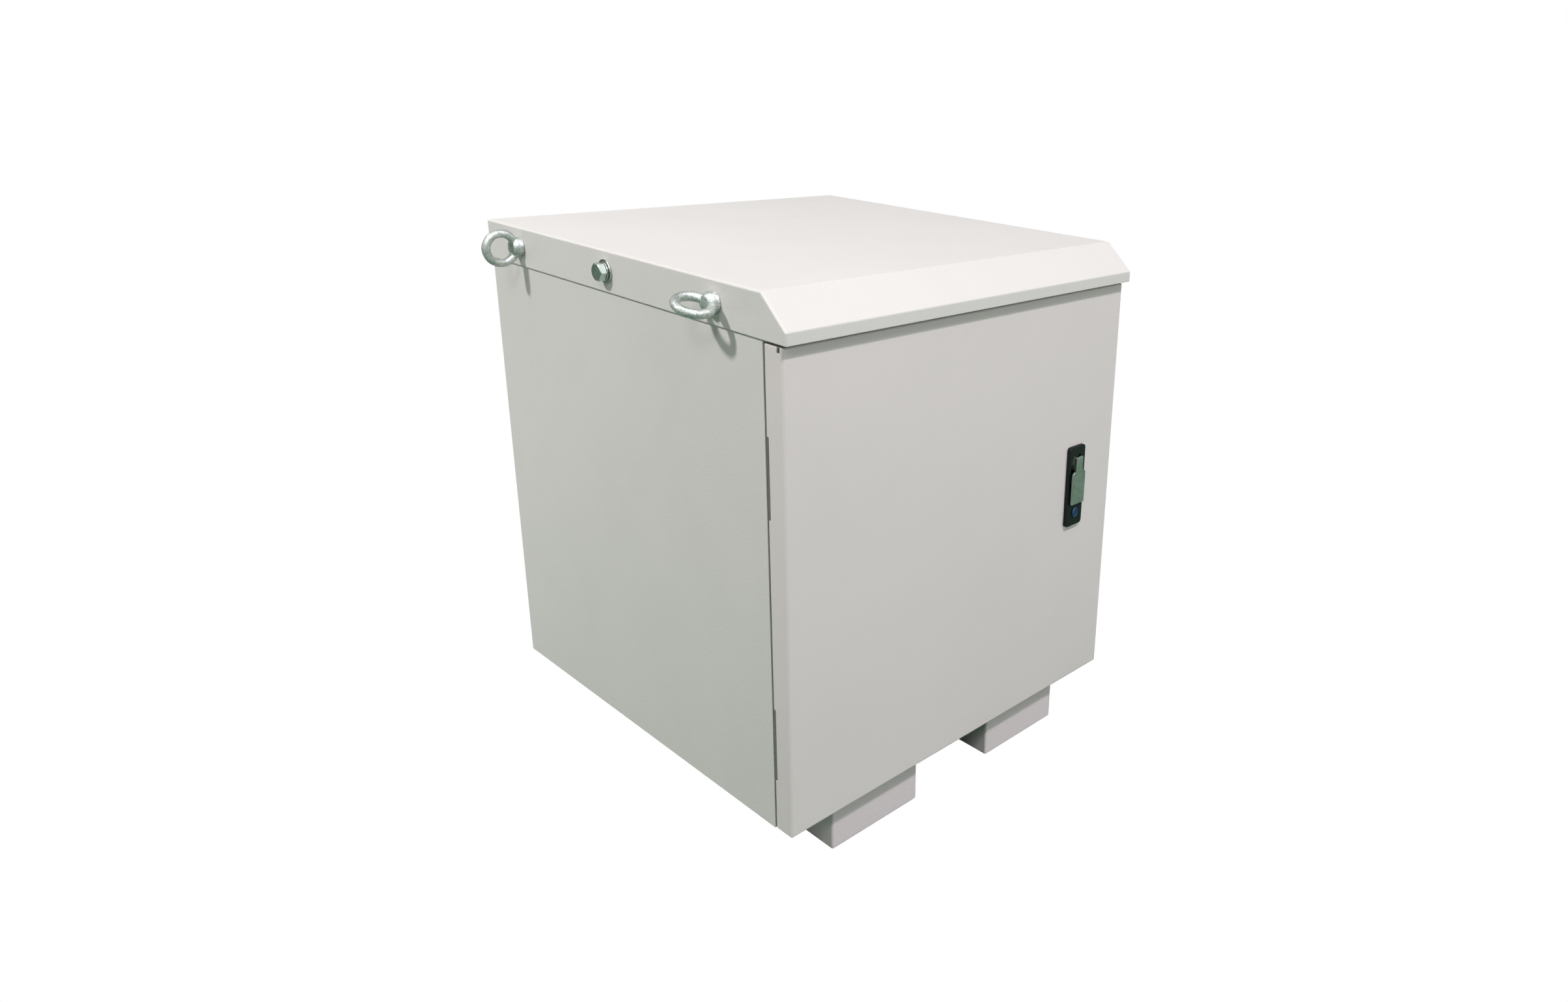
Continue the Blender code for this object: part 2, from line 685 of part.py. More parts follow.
def build_spindle(finish):
    """Head with a tongue in front, round shaft through the case, then a square and a thread."""
    axis = (lock_x, face_y, spindle_z)
    pin = (lock_x, paddle_pin_y, paddle_pin_z)
    shaft_end = cam_y - GAP - face_y
    square_end = shaft_end + CAM_THICKNESS
    thread_end = square_end + 2 * GAP + NUT_HEIGHT + SHEET
    head = LOCK_PROUD - WELL_DEPTH + GAP
    profile = [
        (0, -shaft_end),
        (SPINDLE_RADIUS, -shaft_end),
        (SPINDLE_RADIUS, head),
        (HEAD_RADIUS, head),
        (HEAD_RADIUS, head + HEAD_HEIGHT),
        (0, head + HEAD_HEIGHT),
    ]
    spindle = turned("lock_spindle", profile, finish, axis, "front")
    root = face_y - head - HEAD_HEIGHT / 2 - paddle_pin_y
    tongue = arc(EAR_RADIUS, math.pi / 2, 3 * math.pi / 2)
    tongue += [(root, -EAR_RADIUS), (root, EAR_RADIUS)]
    weld(spindle, prism("spindle_tongue", tongue, -TONGUE_WIDTH / 2, TONGUE_WIDTH / 2, None, pin, "right"))
    square = square_outline(CAM_SQUARE / 2)
    weld(spindle, prism("spindle_square", square, -square_end, -shaft_end + SHEET, None, axis, "front"))
    thread = rod_profile(THREAD_RADIUS, -thread_end, -shaft_end)
    weld(spindle, turned("spindle_thread", thread, None, axis, "front", FINE))
    drill(spindle, "tongue_bore", PADDLE_PIN_RADIUS + GAP, -0.02, 0.02, pin, "right", FINE)
    return spindle


def square_outline(half):
    return [(-half, -half), (half, -half), (half, half), (-half, half)]


def arc(radius, start, end, steps=8):
    turns = [start + (end - start) * step / steps for step in range(steps + 1)]
    return [(radius * math.cos(t), radius * math.sin(t)) for t in turns]


def build_paddle(finish, pin_finish):
    """Pull plate on a neck, whose forked top hangs on the pin through the spindle's tongue."""
    axis = (lock_x, paddle_pin_y, paddle_pin_z)
    plate_top = PADDLE_PIN_DROP - PADDLE_DROP
    middle = plate_top - PADDLE_HEIGHT / 2
    outline = [(x, y + middle) for x, y in rounded_outline(PADDLE_WIDTH, PADDLE_HEIGHT, PADDLE_CORNER)]
    front = EAR_RADIUS
    paddle = prism("lock_paddle", outline, front - PADDLE_THICKNESS, front, finish, axis, "front")
    neck_top = paddle_pin_z - EAR_RADIUS - 2 * GAP
    neck_bottom = paddle_pin_z + plate_top - PADDLE_CORNER
    neck_low = (lock_x - NECK_WIDTH / 2, paddle_pin_y - EAR_RADIUS, neck_bottom)
    weld(paddle, box("paddle_neck", neck_low, (lock_x + NECK_WIDTH / 2, paddle_pin_y + EAR_RADIUS, neck_top)))
    ear = arc(EAR_RADIUS, 0, math.pi)
    ear += [(-EAR_RADIUS, -2 * EAR_RADIUS), (EAR_RADIUS, -2 * EAR_RADIUS)]
    for side, sign in (("left", -1), ("right", 1)):
        near, far = sorted((sign * (TONGUE_WIDTH / 2 + GAP), sign * NECK_WIDTH / 2))
        weld(paddle, prism(f"{side}_ear", ear, near, far, None, axis, "right"))
    drill(paddle, "ear_bore", PADDLE_PIN_RADIUS + GAP, -0.02, 0.02, axis, "right", FINE)
    profile = rod_profile(PADDLE_PIN_RADIUS, -NECK_WIDTH / 2, NECK_WIDTH / 2)
    return paddle, turned("paddle_pin", profile, pin_finish, axis, "right", FINE)


def build_key_cylinder(cap_finish, plug_finish):
    axis = (lock_x, face_y, key_z)
    start = LOCK_PROUD + GAP
    cap = prism(
        "key_cap",
        ellipse_outline(KEY_CAP_WIDTH, KEY_CAP_HEIGHT),
        start,
        start + KEY_CAP_THICKNESS,
        cap_finish,
        axis,
        "front",
    )
    drill(cap, "cap_bore", KEY_RADIUS + GAP, -0.01, 0.02, axis, "front")
    end = start + KEY_CAP_THICKNESS
    profile = rod_profile(KEY_RADIUS, end - KEY_LENGTH, end)
    plug = turned("key_cylinder", profile, plug_finish, axis, "front")
    slot = box(
        "key_slot",
        (lock_x - KEY_SLOT_WIDTH / 2, lock_front - 0.01, key_z - KEY_SLOT_LENGTH / 2),
        (lock_x + KEY_SLOT_WIDTH / 2, lock_front + KEY_RADIUS, key_z + KEY_SLOT_LENGTH / 2),
    )
    cut(plug, slot)
    return cap, plug


def build_lock_clamp(finish):
    """Bracket that pulls the case against the door from behind."""
    inner = LOCK_HEIGHT / 2 - LOCK_RIM + 2 * GAP
    outer = inner + SHEET
    near = -SHEET - GAP
    web = -LOCK_BODY_DEPTH - GAP
    outline = [
        (near, outer),
        (web - SHEET, outer),
        (web - SHEET, -outer),
        (near, -outer),
        (near, -inner),
        (web, -inner),
        (web, inner),
        (near, inner),
    ]
    middle = (lock_x, face_y, (lock_low + lock_high) / 2)
    side_view = [(-depth, height) for depth, height in outline]
    half = LOCK_WIDTH / 2 - LOCK_RIM
    clamp = prism("lock_clamp", side_view, -half, half, finish, middle, "right")
    for name, radius, level in (("spindle", SPINDLE_RADIUS, spindle_z), ("key", KEY_RADIUS, key_z)):
        drill(clamp, f"clamp_{name}_hole", radius + 2 * GAP, -0.04, 0, (lock_x, face_y, level), "front")
    return clamp


def build_cam(finish, nut_finish):
    axis = (lock_x, cam_y, spindle_z)
    tip = collar_x - SHEET - CAM_TIP_CLEARANCE - lock_x
    half = CAM_WIDTH / 2
    outline = arc(half, math.pi / 2, 3 * math.pi / 2)
    outline += [(tip, -half / 2), (tip, half / 2)]
    cam = prism("lock_cam", outline, -CAM_THICKNESS, 0, finish, axis, "front")
    hole = square_outline(CAM_SQUARE / 2 + GAP)
    cut(cam, prism("cam_square_hole", hole, -0.01, 0.01, None, axis, "front"))
    start = -CAM_THICKNESS - GAP
    nut = prism("lock_nut", hex_outline(NUT_WIDTH), start - NUT_HEIGHT, start, nut_finish, axis, "front")
    drill(nut, "nut_bore", THREAD_RADIUS + GAP, -0.02, 0, axis, "front", FINE)
    return cam, nut


def gland_places():
    return [-GLAND_SPACING, 0, GLAND_SPACING]


def build_glands(finish):
    """Hollow cable entries: lock nut above the floor, body through it and dome nut below."""
    for number, x in enumerate(gland_places(), 1):
        place = (x, face_y + GLAND_SETBACK, case_z)
        top = FLOOR_SHEET + GAP + GLAND_NUT_HEIGHT
        name = f"cable_gland_{number}"
        gland = prism(name, hex_outline(GLAND_NUT_WIDTH), -GAP - GLAND_NUT_HEIGHT, -GAP, finish, place)
        dome = GLAND_BODY_RADIUS + GLAND_DOME_BULGE
        low = -GAP - GLAND_NUT_HEIGHT - GLAND_DOME_HEIGHT
        profile = [
            (0, low),
            (GLAND_MOUTH_RADIUS, low),
            (dome, low + GLAND_DOME_HEIGHT / 3),
            (dome, -GAP - GLAND_NUT_HEIGHT / 2),
            (GLAND_BODY_RADIUS, -GAP - GLAND_NUT_HEIGHT / 2),
            (GLAND_BODY_RADIUS, top + SHEET),
            (0, top + SHEET),
        ]
        weld(gland, turned(f"{name}_body", profile, None, place))
        nut = prism(f"{name}_nut", hex_outline(GLAND_NUT_WIDTH), FLOOR_SHEET + GAP, top, None, place)
        weld(gland, nut)
        drill(gland, f"{name}_bore", GLAND_BORE_RADIUS, -0.05, 0.05, place, "up")


def build_earth_stud(finish):
    place = (EARTH_OFFSET, face_y + EARTH_SETBACK, case_z)
    seat = FLOOR_SHEET + GAP
    stud = prism("earth_stud", hex_outline(EARTH_NUT_WIDTH), seat, seat + EARTH_NUT_HEIGHT, finish, place)
    profile = rod_profile(EARTH_RADIUS, -EARTH_BELOW, EARTH_ABOVE)
    weld(stud, turned("earth_thread", profile, None, place, sides=FINE))


def build_transformer(core_finish, coil_finish, clamp_finish):
    limb_pitch = CORE_LIMB + CORE_WINDOW_WIDTH
    half_width = limb_pitch + CORE_LIMB / 2
    height = CORE_WINDOW_HEIGHT + 2 * CORE_LIMB
    middle = face_y + CORE_SETBACK
    near, far = middle - CORE_STACK / 2, middle + CORE_STACK / 2
    low = floor_z + GAP + CLAMP_SHEET + GAP
    core = box("transformer_core", (-half_width, near, low), (half_width, far, low + height), core_finish)
    for number, sign in ((1, -1), (2, 1)):
        window = sign * limb_pitch / 2
        corner = CORE_WINDOW_WIDTH / 2
        opening = box(
            f"core_window_{number}",
            (window - corner, near - SHEET, low + CORE_LIMB),
            (window + corner, far + SHEET, low + CORE_LIMB + CORE_WINDOW_HEIGHT),
        )
        cut(core, opening)
    coil_low = low + CORE_LIMB + COIL_END_CLEARANCE
    coil_high = low + CORE_LIMB + CORE_WINDOW_HEIGHT - COIL_END_CLEARANCE
    hole_width = CORE_LIMB + 2 * COIL_LIMB_CLEARANCE
    hole_depth = CORE_STACK + 2 * COIL_LIMB_CLEARANCE
    for number in range(3):
        x = (number - 1) * limb_pitch
        outline = rounded_outline(hole_width + 2 * COIL_BUILD, hole_depth + 2 * COIL_BUILD, COIL_BUILD / 2)
        coil = prism(f"coil_{number + 1}", outline, coil_low, coil_high, coil_finish, (x, middle, 0))
        inner = rounded_outline(hole_width, hole_depth, COIL_LIMB_CLEARANCE / 2, 1)
        hole_low, hole_high = coil_low - SHEET, coil_high + SHEET
        cut(coil, prism(f"coil_{number + 1}_hole", inner, hole_low, hole_high, None, (x, middle, 0)))
    reach = half_width + CLAMP_OVERHANG
    for level, base, rise in (("lower", floor_z + GAP, 1), ("upper", low + height + CLAMP_SHEET + GAP, -1)):
        for side, sign in (("front", -1), ("rear", 1)):
            edge = sign * (CORE_STACK / 2 + GAP)
            outline = [
                (edge - sign * CORE_LIMB / 2, 0),
                (edge + sign * CLAMP_LEG, 0),
                (edge + sign * CLAMP_LEG, rise * CLAMP_SHEET),
                (edge + sign * CLAMP_SHEET, rise * CLAMP_SHEET),
                (edge + sign * CLAMP_SHEET, rise * CLAMP_LEG),
                (edge, rise * CLAMP_LEG),
                (edge, rise * CLAMP_SHEET),
                (edge - sign * CORE_LIMB / 2, rise * CLAMP_SHEET),
            ]
            prism(f"{level}_{side}_clamp", outline, -reach, reach, clamp_finish, (0, middle, base), "right")


def build_mounting_plate(finish):
    base = floor_z + GAP
    outline = [
        (0, 0),
        (PLATE_FOOT, 0),
        (PLATE_FOOT, SHEET),
        (SHEET, SHEET),
        (SHEET, plate_top - base),
        (0, plate_top - base),
    ]
    half = PLATE_WIDTH / 2
    return prism("mounting_plate", outline, -half, half, finish, (0, plate_y, base), "right")


def build_din_rail(finish):
    """Top-hat rail along X, drawn from the plate forwards."""
    half = RAIL_WIDTH / 2
    inner = half - RAIL_LIP
    depth = RAIL_DEPTH
    outline = [
        (-depth, -half),
        (-depth + RAIL_SHEET, -half),
        (-depth + RAIL_SHEET, -inner - RAIL_SHEET),
        (0, -inner - RAIL_SHEET),
        (0, inner + RAIL_SHEET),
        (-depth + RAIL_SHEET, inner + RAIL_SHEET),
        (-depth + RAIL_SHEET, half),
        (-depth, half),
        (-depth, inner),
        (-RAIL_SHEET, inner),
        (-RAIL_SHEET, -inner),
        (-depth, -inner),
    ]
    place = (0, rail_y, rail_z)
    return prism("din_rail", outline, -RAIL_LENGTH / 2, RAIL_LENGTH / 2, finish, place, "right")


def build_breaker(finish, toggle_finish):
    width, depth, height = BREAKER_SIZE
    back = rail_y - RAIL_DEPTH - GAP
    step = BREAKER_NOSE / 2
    outline = [
        (0, -height / 2),
        (0, height / 2),
        (-BREAKER_SHOULDER, height / 2),
        (-BREAKER_SHOULDER, step),
        (-depth, step),
        (-depth, -step),
        (-BREAKER_SHOULDER, -step),
        (-BREAKER_SHOULDER, -height / 2),
    ]
    place = (BREAKER_OFFSET, back, rail_z)
    body = prism("breaker", outline, -width / 2, width / 2, finish, place, "right")
    axis = (BREAKER_OFFSET, back - depth, rail_z)
    half = TOGGLE_WIDTH / 2
    drill(body, "breaker_bed", TOGGLE_RADIUS + GAP, -half - 2 * GAP, half + 2 * GAP, axis, "right")
    profile = rod_profile(TOGGLE_RADIUS, -half, half)
    toggle = turned("breaker_toggle", profile, toggle_finish, axis, "right")
    lever = box(
        "toggle_lever",
        (BREAKER_OFFSET - half, back - depth - TOGGLE_REACH, rail_z - LEVER_THICKNESS / 2),
        (BREAKER_OFFSET + half, back - depth - TOGGLE_RADIUS / 2, rail_z + LEVER_THICKNESS / 2),
    )
    lift = Matrix.Rotation(-TOGGLE_LIFT, 4, "X")
    there = Matrix.Translation(axis)
    lever.matrix_world = there @ lift @ there.inverted() @ lever.matrix_world
    weld(toggle, lever)
    return toggle, axis


def build_terminals(finish):
    width, depth, height = TERMINAL_SIZE
    back = rail_y - RAIL_DEPTH - GAP
    block = box(
        "terminal_block",
        (TERMINAL_OFFSET - width / 2, back - depth, rail_z - height / 2),
        (TERMINAL_OFFSET + width / 2, back, rail_z + height / 2),
        finish,
    )
    pitch = width / TERMINAL_COUNT
    half = (pitch - TERMINAL_WALL) / 2
    for number in range(TERMINAL_COUNT):
        x = TERMINAL_OFFSET + (number + 0.5 - TERMINAL_COUNT / 2) * pitch
        pocket = box(
            f"terminal_pocket_{number + 1}",
            (x - half, back - depth - SHEET, rail_z - height / 2 + TERMINAL_SILL),
            (x + half, back - depth + TERMINAL_POCKET_DEPTH, rail_z + height / 2 - TERMINAL_SILL),
        )
        cut(block, pocket)


def build_control_unit(finish):
    width, depth, height = CONTROL_SIZE
    low = rail_z - BREAKER_SIZE[2] / 2 - CONTROL_GAP - height
    unit = box(
        "control_unit",
        (CONTROL_OFFSET - width / 2, rail_y - depth, low),
        (CONTROL_OFFSET + width / 2, rail_y, low + height),
        finish,
    )
    edge = unit.modifiers.new("edges", "BEVEL")
    edge.width = CONTROL_EDGE
    edge.segments = 2


def build_capacitors(finish):
    rim = CAPACITOR_RIM
    top = CAPACITOR_HEIGHT
    profile = [
        (0, 0),
        (CAPACITOR_RADIUS, 0),
        (CAPACITOR_RADIUS, top),
        (CAPACITOR_RADIUS - rim, top + rim),
        (CAPACITOR_RADIUS - 2 * rim, top),
        (0, top),
    ]
    post = rod_profile(CAPACITOR_POST_RADIUS, top - SHEET, top + CAPACITOR_POST_HEIGHT)
    for number in range(2):
        x = CAPACITOR_OFFSET + number * CAPACITOR_SPACING
        place = (x, face_y + CAPACITOR_SETBACK, floor_z + GAP)
        can = turned(f"capacitor_{number + 1}", profile, finish, place)
        weld(can, turned(f"capacitor_post_{number + 1}", post, None, place, sides=FINE))


def build():
    for thing in list(bpy.data.objects):
        bpy.data.objects.remove(thing, do_unlink=True)

    light_grey = make_finish("powder_coat", (0.58, 0.58, 0.56), 0.5, 0.0)
    skid_grey = make_finish("skid_coat", (0.42, 0.39, 0.42), 0.6, 0.0)
    zinc = make_finish("zinc", (0.55, 0.56, 0.53), 0.35, 1.0)
    chrome = make_finish("chrome", (0.72, 0.73, 0.72), 0.15, 1.0)
    black = make_finish("black_coat", (0.012, 0.014, 0.014), 0.45, 0.0)
    rubber = make_finish("rubber", (0.02, 0.02, 0.02), 0.8, 0.0)
    blue = make_finish("blue_plastic", (0.02, 0.12, 0.45), 0.4, 0.0)
    core_steel = make_finish("core_steel", (0.16, 0.17, 0.19), 0.5, 0.6)
    resin = make_finish("coil_resin", (0.28, 0.06, 0.03), 0.45, 0.0)
    device_grey = make_finish("device_grey", (0.10, 0.11, 0.12), 0.5, 0.0)
    can_metal = make_finish("can_aluminium", (0.6, 0.6, 0.62), 0.35, 1.0)
    brass = make_finish("brass", (0.6, 0.42, 0.16), 0.3, 1.0)

    panels = build_side_panels(light_grey)
    build_floor(light_grey)
    build_front_frame(light_grey)
    roof = build_roof(light_grey)
    rails = build_lifting_rails(zinc)
    drill_side_holes(roof, panels, rails)
    build_skids(skid_grey)
    for side in ("left", "right"):
        for place in ("front", "rear"):
            build_eye_bolt(side, place, zinc)
        build_side_bolt(side, zinc, zinc)

    build_glands(black)
    build_earth_stud(brass)
    build_transformer(core_steel, resin, zinc)
    build_mounting_plate(zinc)
    build_din_rail(zinc)
    toggle, toggle_place = build_breaker(device_grey, black)
    build_terminals(black)
    build_control_unit(device_grey)
    build_capacitors(can_metal)

    door_axis = axis_empty("door_axis", (hinge_x, hinge_y, door_z))
    door_pieces = [build_door(light_grey), build_door_seal(rubber)]
    for name, level in hinge_levels().items():
        door_pieces.append(build_hinge(name, level, zinc, zinc)[1])
    door_pieces += build_lock_case(black, rubber)
    door_pieces.append(build_lock_clamp(zinc))
    cap, plug = build_key_cylinder(blue, device_grey)
    door_pieces.append(cap)
    hang(door_pieces, door_axis)

    key_axis = axis_empty("key_axis", (lock_x, lock_front, key_z), door_axis)
    hang([plug], key_axis)
    spindle_axis = axis_empty("spindle_axis", (lock_x, lock_front, spindle_z), door_axis)
    paddle, pin = build_paddle(chrome, zinc)
    hang([build_spindle(zinc), pin, *build_cam(zinc, zinc)], spindle_axis)
    paddle_axis = axis_empty("paddle_axis", (lock_x, paddle_pin_y, paddle_pin_z), spindle_axis)
    hang([paddle], paddle_axis)
    hang([toggle], axis_empty("toggle_axis", toggle_place))


build()
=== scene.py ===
import json
import math

import bpy
import numpy as np
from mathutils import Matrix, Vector


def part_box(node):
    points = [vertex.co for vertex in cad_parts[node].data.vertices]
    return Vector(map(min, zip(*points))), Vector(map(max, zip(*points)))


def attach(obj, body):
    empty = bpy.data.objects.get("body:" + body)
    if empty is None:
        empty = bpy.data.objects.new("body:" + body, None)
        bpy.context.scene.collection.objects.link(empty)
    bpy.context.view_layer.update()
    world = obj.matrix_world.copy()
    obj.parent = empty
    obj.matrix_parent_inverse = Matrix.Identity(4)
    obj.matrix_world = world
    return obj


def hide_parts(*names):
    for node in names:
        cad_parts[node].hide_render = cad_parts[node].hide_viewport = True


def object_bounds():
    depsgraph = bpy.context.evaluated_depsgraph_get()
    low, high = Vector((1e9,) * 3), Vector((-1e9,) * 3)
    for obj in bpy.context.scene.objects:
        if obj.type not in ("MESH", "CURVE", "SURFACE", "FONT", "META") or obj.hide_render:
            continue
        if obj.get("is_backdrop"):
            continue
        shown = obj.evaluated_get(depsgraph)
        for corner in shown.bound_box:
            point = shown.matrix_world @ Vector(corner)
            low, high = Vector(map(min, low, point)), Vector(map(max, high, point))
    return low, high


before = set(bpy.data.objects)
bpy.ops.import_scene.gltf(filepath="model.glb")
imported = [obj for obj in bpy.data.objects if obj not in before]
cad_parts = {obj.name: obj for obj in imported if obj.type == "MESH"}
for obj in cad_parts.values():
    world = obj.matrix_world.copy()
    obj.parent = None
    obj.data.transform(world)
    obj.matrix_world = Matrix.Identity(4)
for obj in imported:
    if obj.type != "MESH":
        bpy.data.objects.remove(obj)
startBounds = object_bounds()
print("frame loaded")


def meshObject(name, points, faces):
    # Mesh of these points and faces, linked into the scene
    mesh = bpy.data.meshes.new(name)
    mesh.from_pydata(points.tolist(), [], faces)
    mesh.update()
    made = bpy.data.objects.new(name, mesh)
    bpy.context.scene.collection.objects.link(made)
    return made


def gridFaces(rows, columns, closeRows=False, closeColumns=True):
    # Quads between neighbouring rows and columns: (r, c), (r, c+1), (r+1, c+1), (r+1, c)
    down = np.arange(rows if closeRows else rows - 1)
    across = np.arange(columns if closeColumns else columns - 1)
    r, c = np.meshgrid(down, across, indexing="ij")
    r2, c2 = (r + 1) % rows, (c + 1) % columns
    corners = np.stack([r * columns + c, r * columns + c2, r2 * columns + c2, r2 * columns + c], -1)
    return corners.reshape(-1, 4)


def outward(made):
    # Turn the faces out when the signed volume, a sixth of the sum of triple products, is negative
    mesh = made.data
    mesh.calc_loop_triangles()
    spots = np.empty(len(mesh.vertices) * 3)
    mesh.vertices.foreach_get("co", spots)
    triangles = np.empty(len(mesh.loop_triangles) * 3, int)
    mesh.loop_triangles.foreach_get("vertices", triangles)
    corner = spots.reshape(-1, 3)[triangles.reshape(-1, 3)]
    if np.linalg.det(corner).sum() < 0:
        mesh.flip_normals()
    return made


def smooth(made):
    # Smooth shading that stays sharp across edges of more than 30 degrees
    made.data.shade_smooth()
    made.data.set_sharp_from_angle(angle=math.radians(30))
    return made


def gridObject(name, grid, closeRows=False):
    # Closed skin from a grid whose columns run round, with a flat face over each open end
    rows, columns = grid.shape[:2]
    faces = gridFaces(rows, columns, closeRows).tolist()
    if not closeRows:
        faces.append(list(range(columns))[::-1])
        faces.append(list(range((rows - 1) * columns, rows * columns)))
    return smooth(outward(meshObject(name, grid.reshape(-1, 3), faces)))


def turnTo(grid, facing, place=(0, 0, 0)):
    # Send a shape's own x, y, z to world directions and add the place
    x, y, z = grid[..., 0], grid[..., 1], grid[..., 2]
    turned = {
        "up": (x, y, z),
        "right": (z, x, y),
        "left": (-z, -x, y),
        "front": (x, -z, y),
    }[facing]
    return np.stack(turned, -1) + np.array(place)


def roundPolygon(corners, radii, steps=5):
    # Polygon with round corners, as a function of its inset. A corner with radius r becomes an arc of
    # radius r - inset. Its centre lies r / (1 + n1.n2) times (n1 + n2) inside the corner, n1 and n2
    # being the inward normals of its two edges, and r is never less than the inset, so that a deeper
    # inset gives a sharp corner
    corners = np.array(corners, float)
    radii = np.broadcast_to(np.array(radii, float), len(corners))
    along = np.roll(corners, -1, 0) - corners
    along /= np.linalg.norm(along, axis=1)[:, None]
    after = np.stack([-along[:, 1], along[:, 0]], 1)
    before = np.roll(after, 1, 0)
    first = np.arctan2(-before[:, 1], -before[:, 0])
    sweep = (np.arctan2(-after[:, 1], -after[:, 0]) - first + math.pi) % (2 * math.pi) - math.pi
    turns = first[:, None] + sweep[:, None] * np.linspace(0, 1, steps + 1)
    rays = np.stack([np.cos(turns), np.sin(turns)], -1)

    def outline(inset):
        wide = np.maximum(radii, inset + 0.00002)
        centre = corners + (before + after) * (wide / (1 + (before * after).sum(1)))[:, None]
        return (centre[:, None] + rays * (wide - inset)[:, None, None]).reshape(-1, 2)

    return outline


def roundBox(width, height, radius, steps=5):
    # Rectangle about the origin with round corners, as a function of its inset
    x, y = width / 2, height / 2
    return roundPolygon([(-x, -y), (x, -y), (x, y), (-x, y)], radius, steps)


def edgeRows(start, end, edge, steps=4, foot=None):
    # (inset, height) rows of a slab with quarter-round edges: inset e(1 - sin a), height e(1 - cos a)
    turn = np.linspace(0, math.pi / 2, steps + 1)
    low = edge if foot is None else foot
    rows = [(low * (1 - math.sin(a)), start + low * (1 - math.cos(a))) for a in turn]
    rows += [(edge * (1 - math.sin(a)), end - edge * (1 - math.cos(a))) for a in turn[::-1]]
    return rows


def stack(outline, rows):
    # Outline repeated at each (inset, height) of the rows: (x, y) drawn in by the inset, z the height
    return np.stack([np.insert(outline(inset), 2, height, axis=1) for inset, height in rows])


def slab(name, outline, rows, facing="up", place=(0, 0, 0)):
    # Stack an outline at rising heights and close both ends
    return gridObject(name, turnTo(stack(outline, rows), facing, place))


def lathe(name, profile, facing="up", place=(0, 0, 0), sides=48, closed=False):
    # Profile of (radius, height) turned round: (r cos t, r sin t, h)
    profile = np.array(profile, float)
    turn = np.linspace(0, 2 * math.pi, sides, endpoint=False)
    radius, height = profile[:, :1], profile[:, 1:]
    grid = np.stack([radius * np.cos(turn), radius * np.sin(turn), height + 0 * turn], -1)
    return gridObject(name, turnTo(grid, facing, place), closeRows=closed)


def roundProfile(points, edge, steps=3):
    # Profile with its inner corners rounded: a quadratic curve from e before to e after each corner
    points = np.array(points, float)
    share = np.linspace(0, 1, steps + 1)[:, None]
    out = [points[:1]]
    for before, here, after in zip(points, points[1:], points[2:]):
        back, on = before - here, after - here
        reach = min(edge, np.linalg.norm(back) * 0.45, np.linalg.norm(on) * 0.45)
        start = here + back / np.linalg.norm(back) * reach
        stop = here + on / np.linalg.norm(on) * reach
        out.append((1 - share) ** 2 * start + 2 * share * (1 - share) * here + share**2 * stop)
    out.append(points[-1:])
    return np.concatenate(out)


def block(name, low, high, edge=0.0008, facing="up", corner=None, steps=3):
    # Box between two world corners with quarter-round edges
    low, high = np.array(low, float), np.array(high, float)
    size, middle = high - low, (low + high) / 2
    wide, tall, deep = {"up": (0, 1, 2), "front": (0, 2, 1), "right": (1, 2, 0), "left": (1, 2, 0)}[facing]
    outline = roundBox(size[wide], size[tall], edge * 1.05 if corner is None else corner, steps)
    rows = edgeRows(-size[deep] / 2, size[deep] / 2, edge, steps)
    return slab(name, outline, rows, facing, middle)


def carve(piece, cutters, operation="DIFFERENCE"):
    # Apply exact booleans to the piece's mesh and drop the cutters
    for cutter in cutters:
        change = piece.modifiers.new("carve", "BOOLEAN")
        change.operation = operation
        change.solver = "EXACT"
        change.object = cutter
    bpy.context.view_layer.update()
    shaped = bpy.data.meshes.new_from_object(piece.evaluated_get(bpy.context.evaluated_depsgraph_get()))
    piece.modifiers.clear()
    piece.data = shaped
    for cutter in cutters:
        bpy.data.objects.remove(cutter, do_unlink=True)
    return smooth(piece)


def join(name, parts):
    # Put several meshes in one object
    points, faces, base = [], [], 0
    for part in parts:
        spots = np.empty(len(part.data.vertices) * 3)
        part.data.vertices.foreach_get("co", spots)
        points.append(spots.reshape(-1, 3))
        faces += [[base + v for v in face.vertices] for face in part.data.polygons]
        base += len(part.data.vertices)
        bpy.data.objects.remove(part, do_unlink=True)
    return smooth(meshObject(name, np.concatenate(points), faces))


def steady(piece):
    # Normals weighted by face area, so that wide faces stay flat beside their rounded bends
    change = piece.modifiers.new("steady", "WEIGHTED_NORMAL")
    change.keep_sharp = True
    change.weight = 50
    bpy.context.view_layer.update()
    piece.data = bpy.data.meshes.new_from_object(piece.evaluated_get(bpy.context.evaluated_depsgraph_get()))
    piece.modifiers.clear()


def dress(piece, finish, body, nodes=()):
    # Give a finished piece its material and the body it rides on, and hide the nodes it stands for
    steady(piece)
    piece.data.materials.clear()
    piece.data.materials.append(finishes[finish])
    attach(piece, body)
    if nodes:
        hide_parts(*nodes)


def addNode(tree, kind, inputs=None, **settings):
    # Shader node whose settings come first, since they decide its sockets. An input is linked or set
    node = tree.nodes.new("ShaderNode" + kind)
    for key, value in settings.items():
        setattr(node, key, value)
    for key, value in (inputs or {}).items():
        if isinstance(value, bpy.types.NodeSocket):
            tree.links.new(value, node.inputs[key])
        else:
            node.inputs[key].default_value = value
    return node


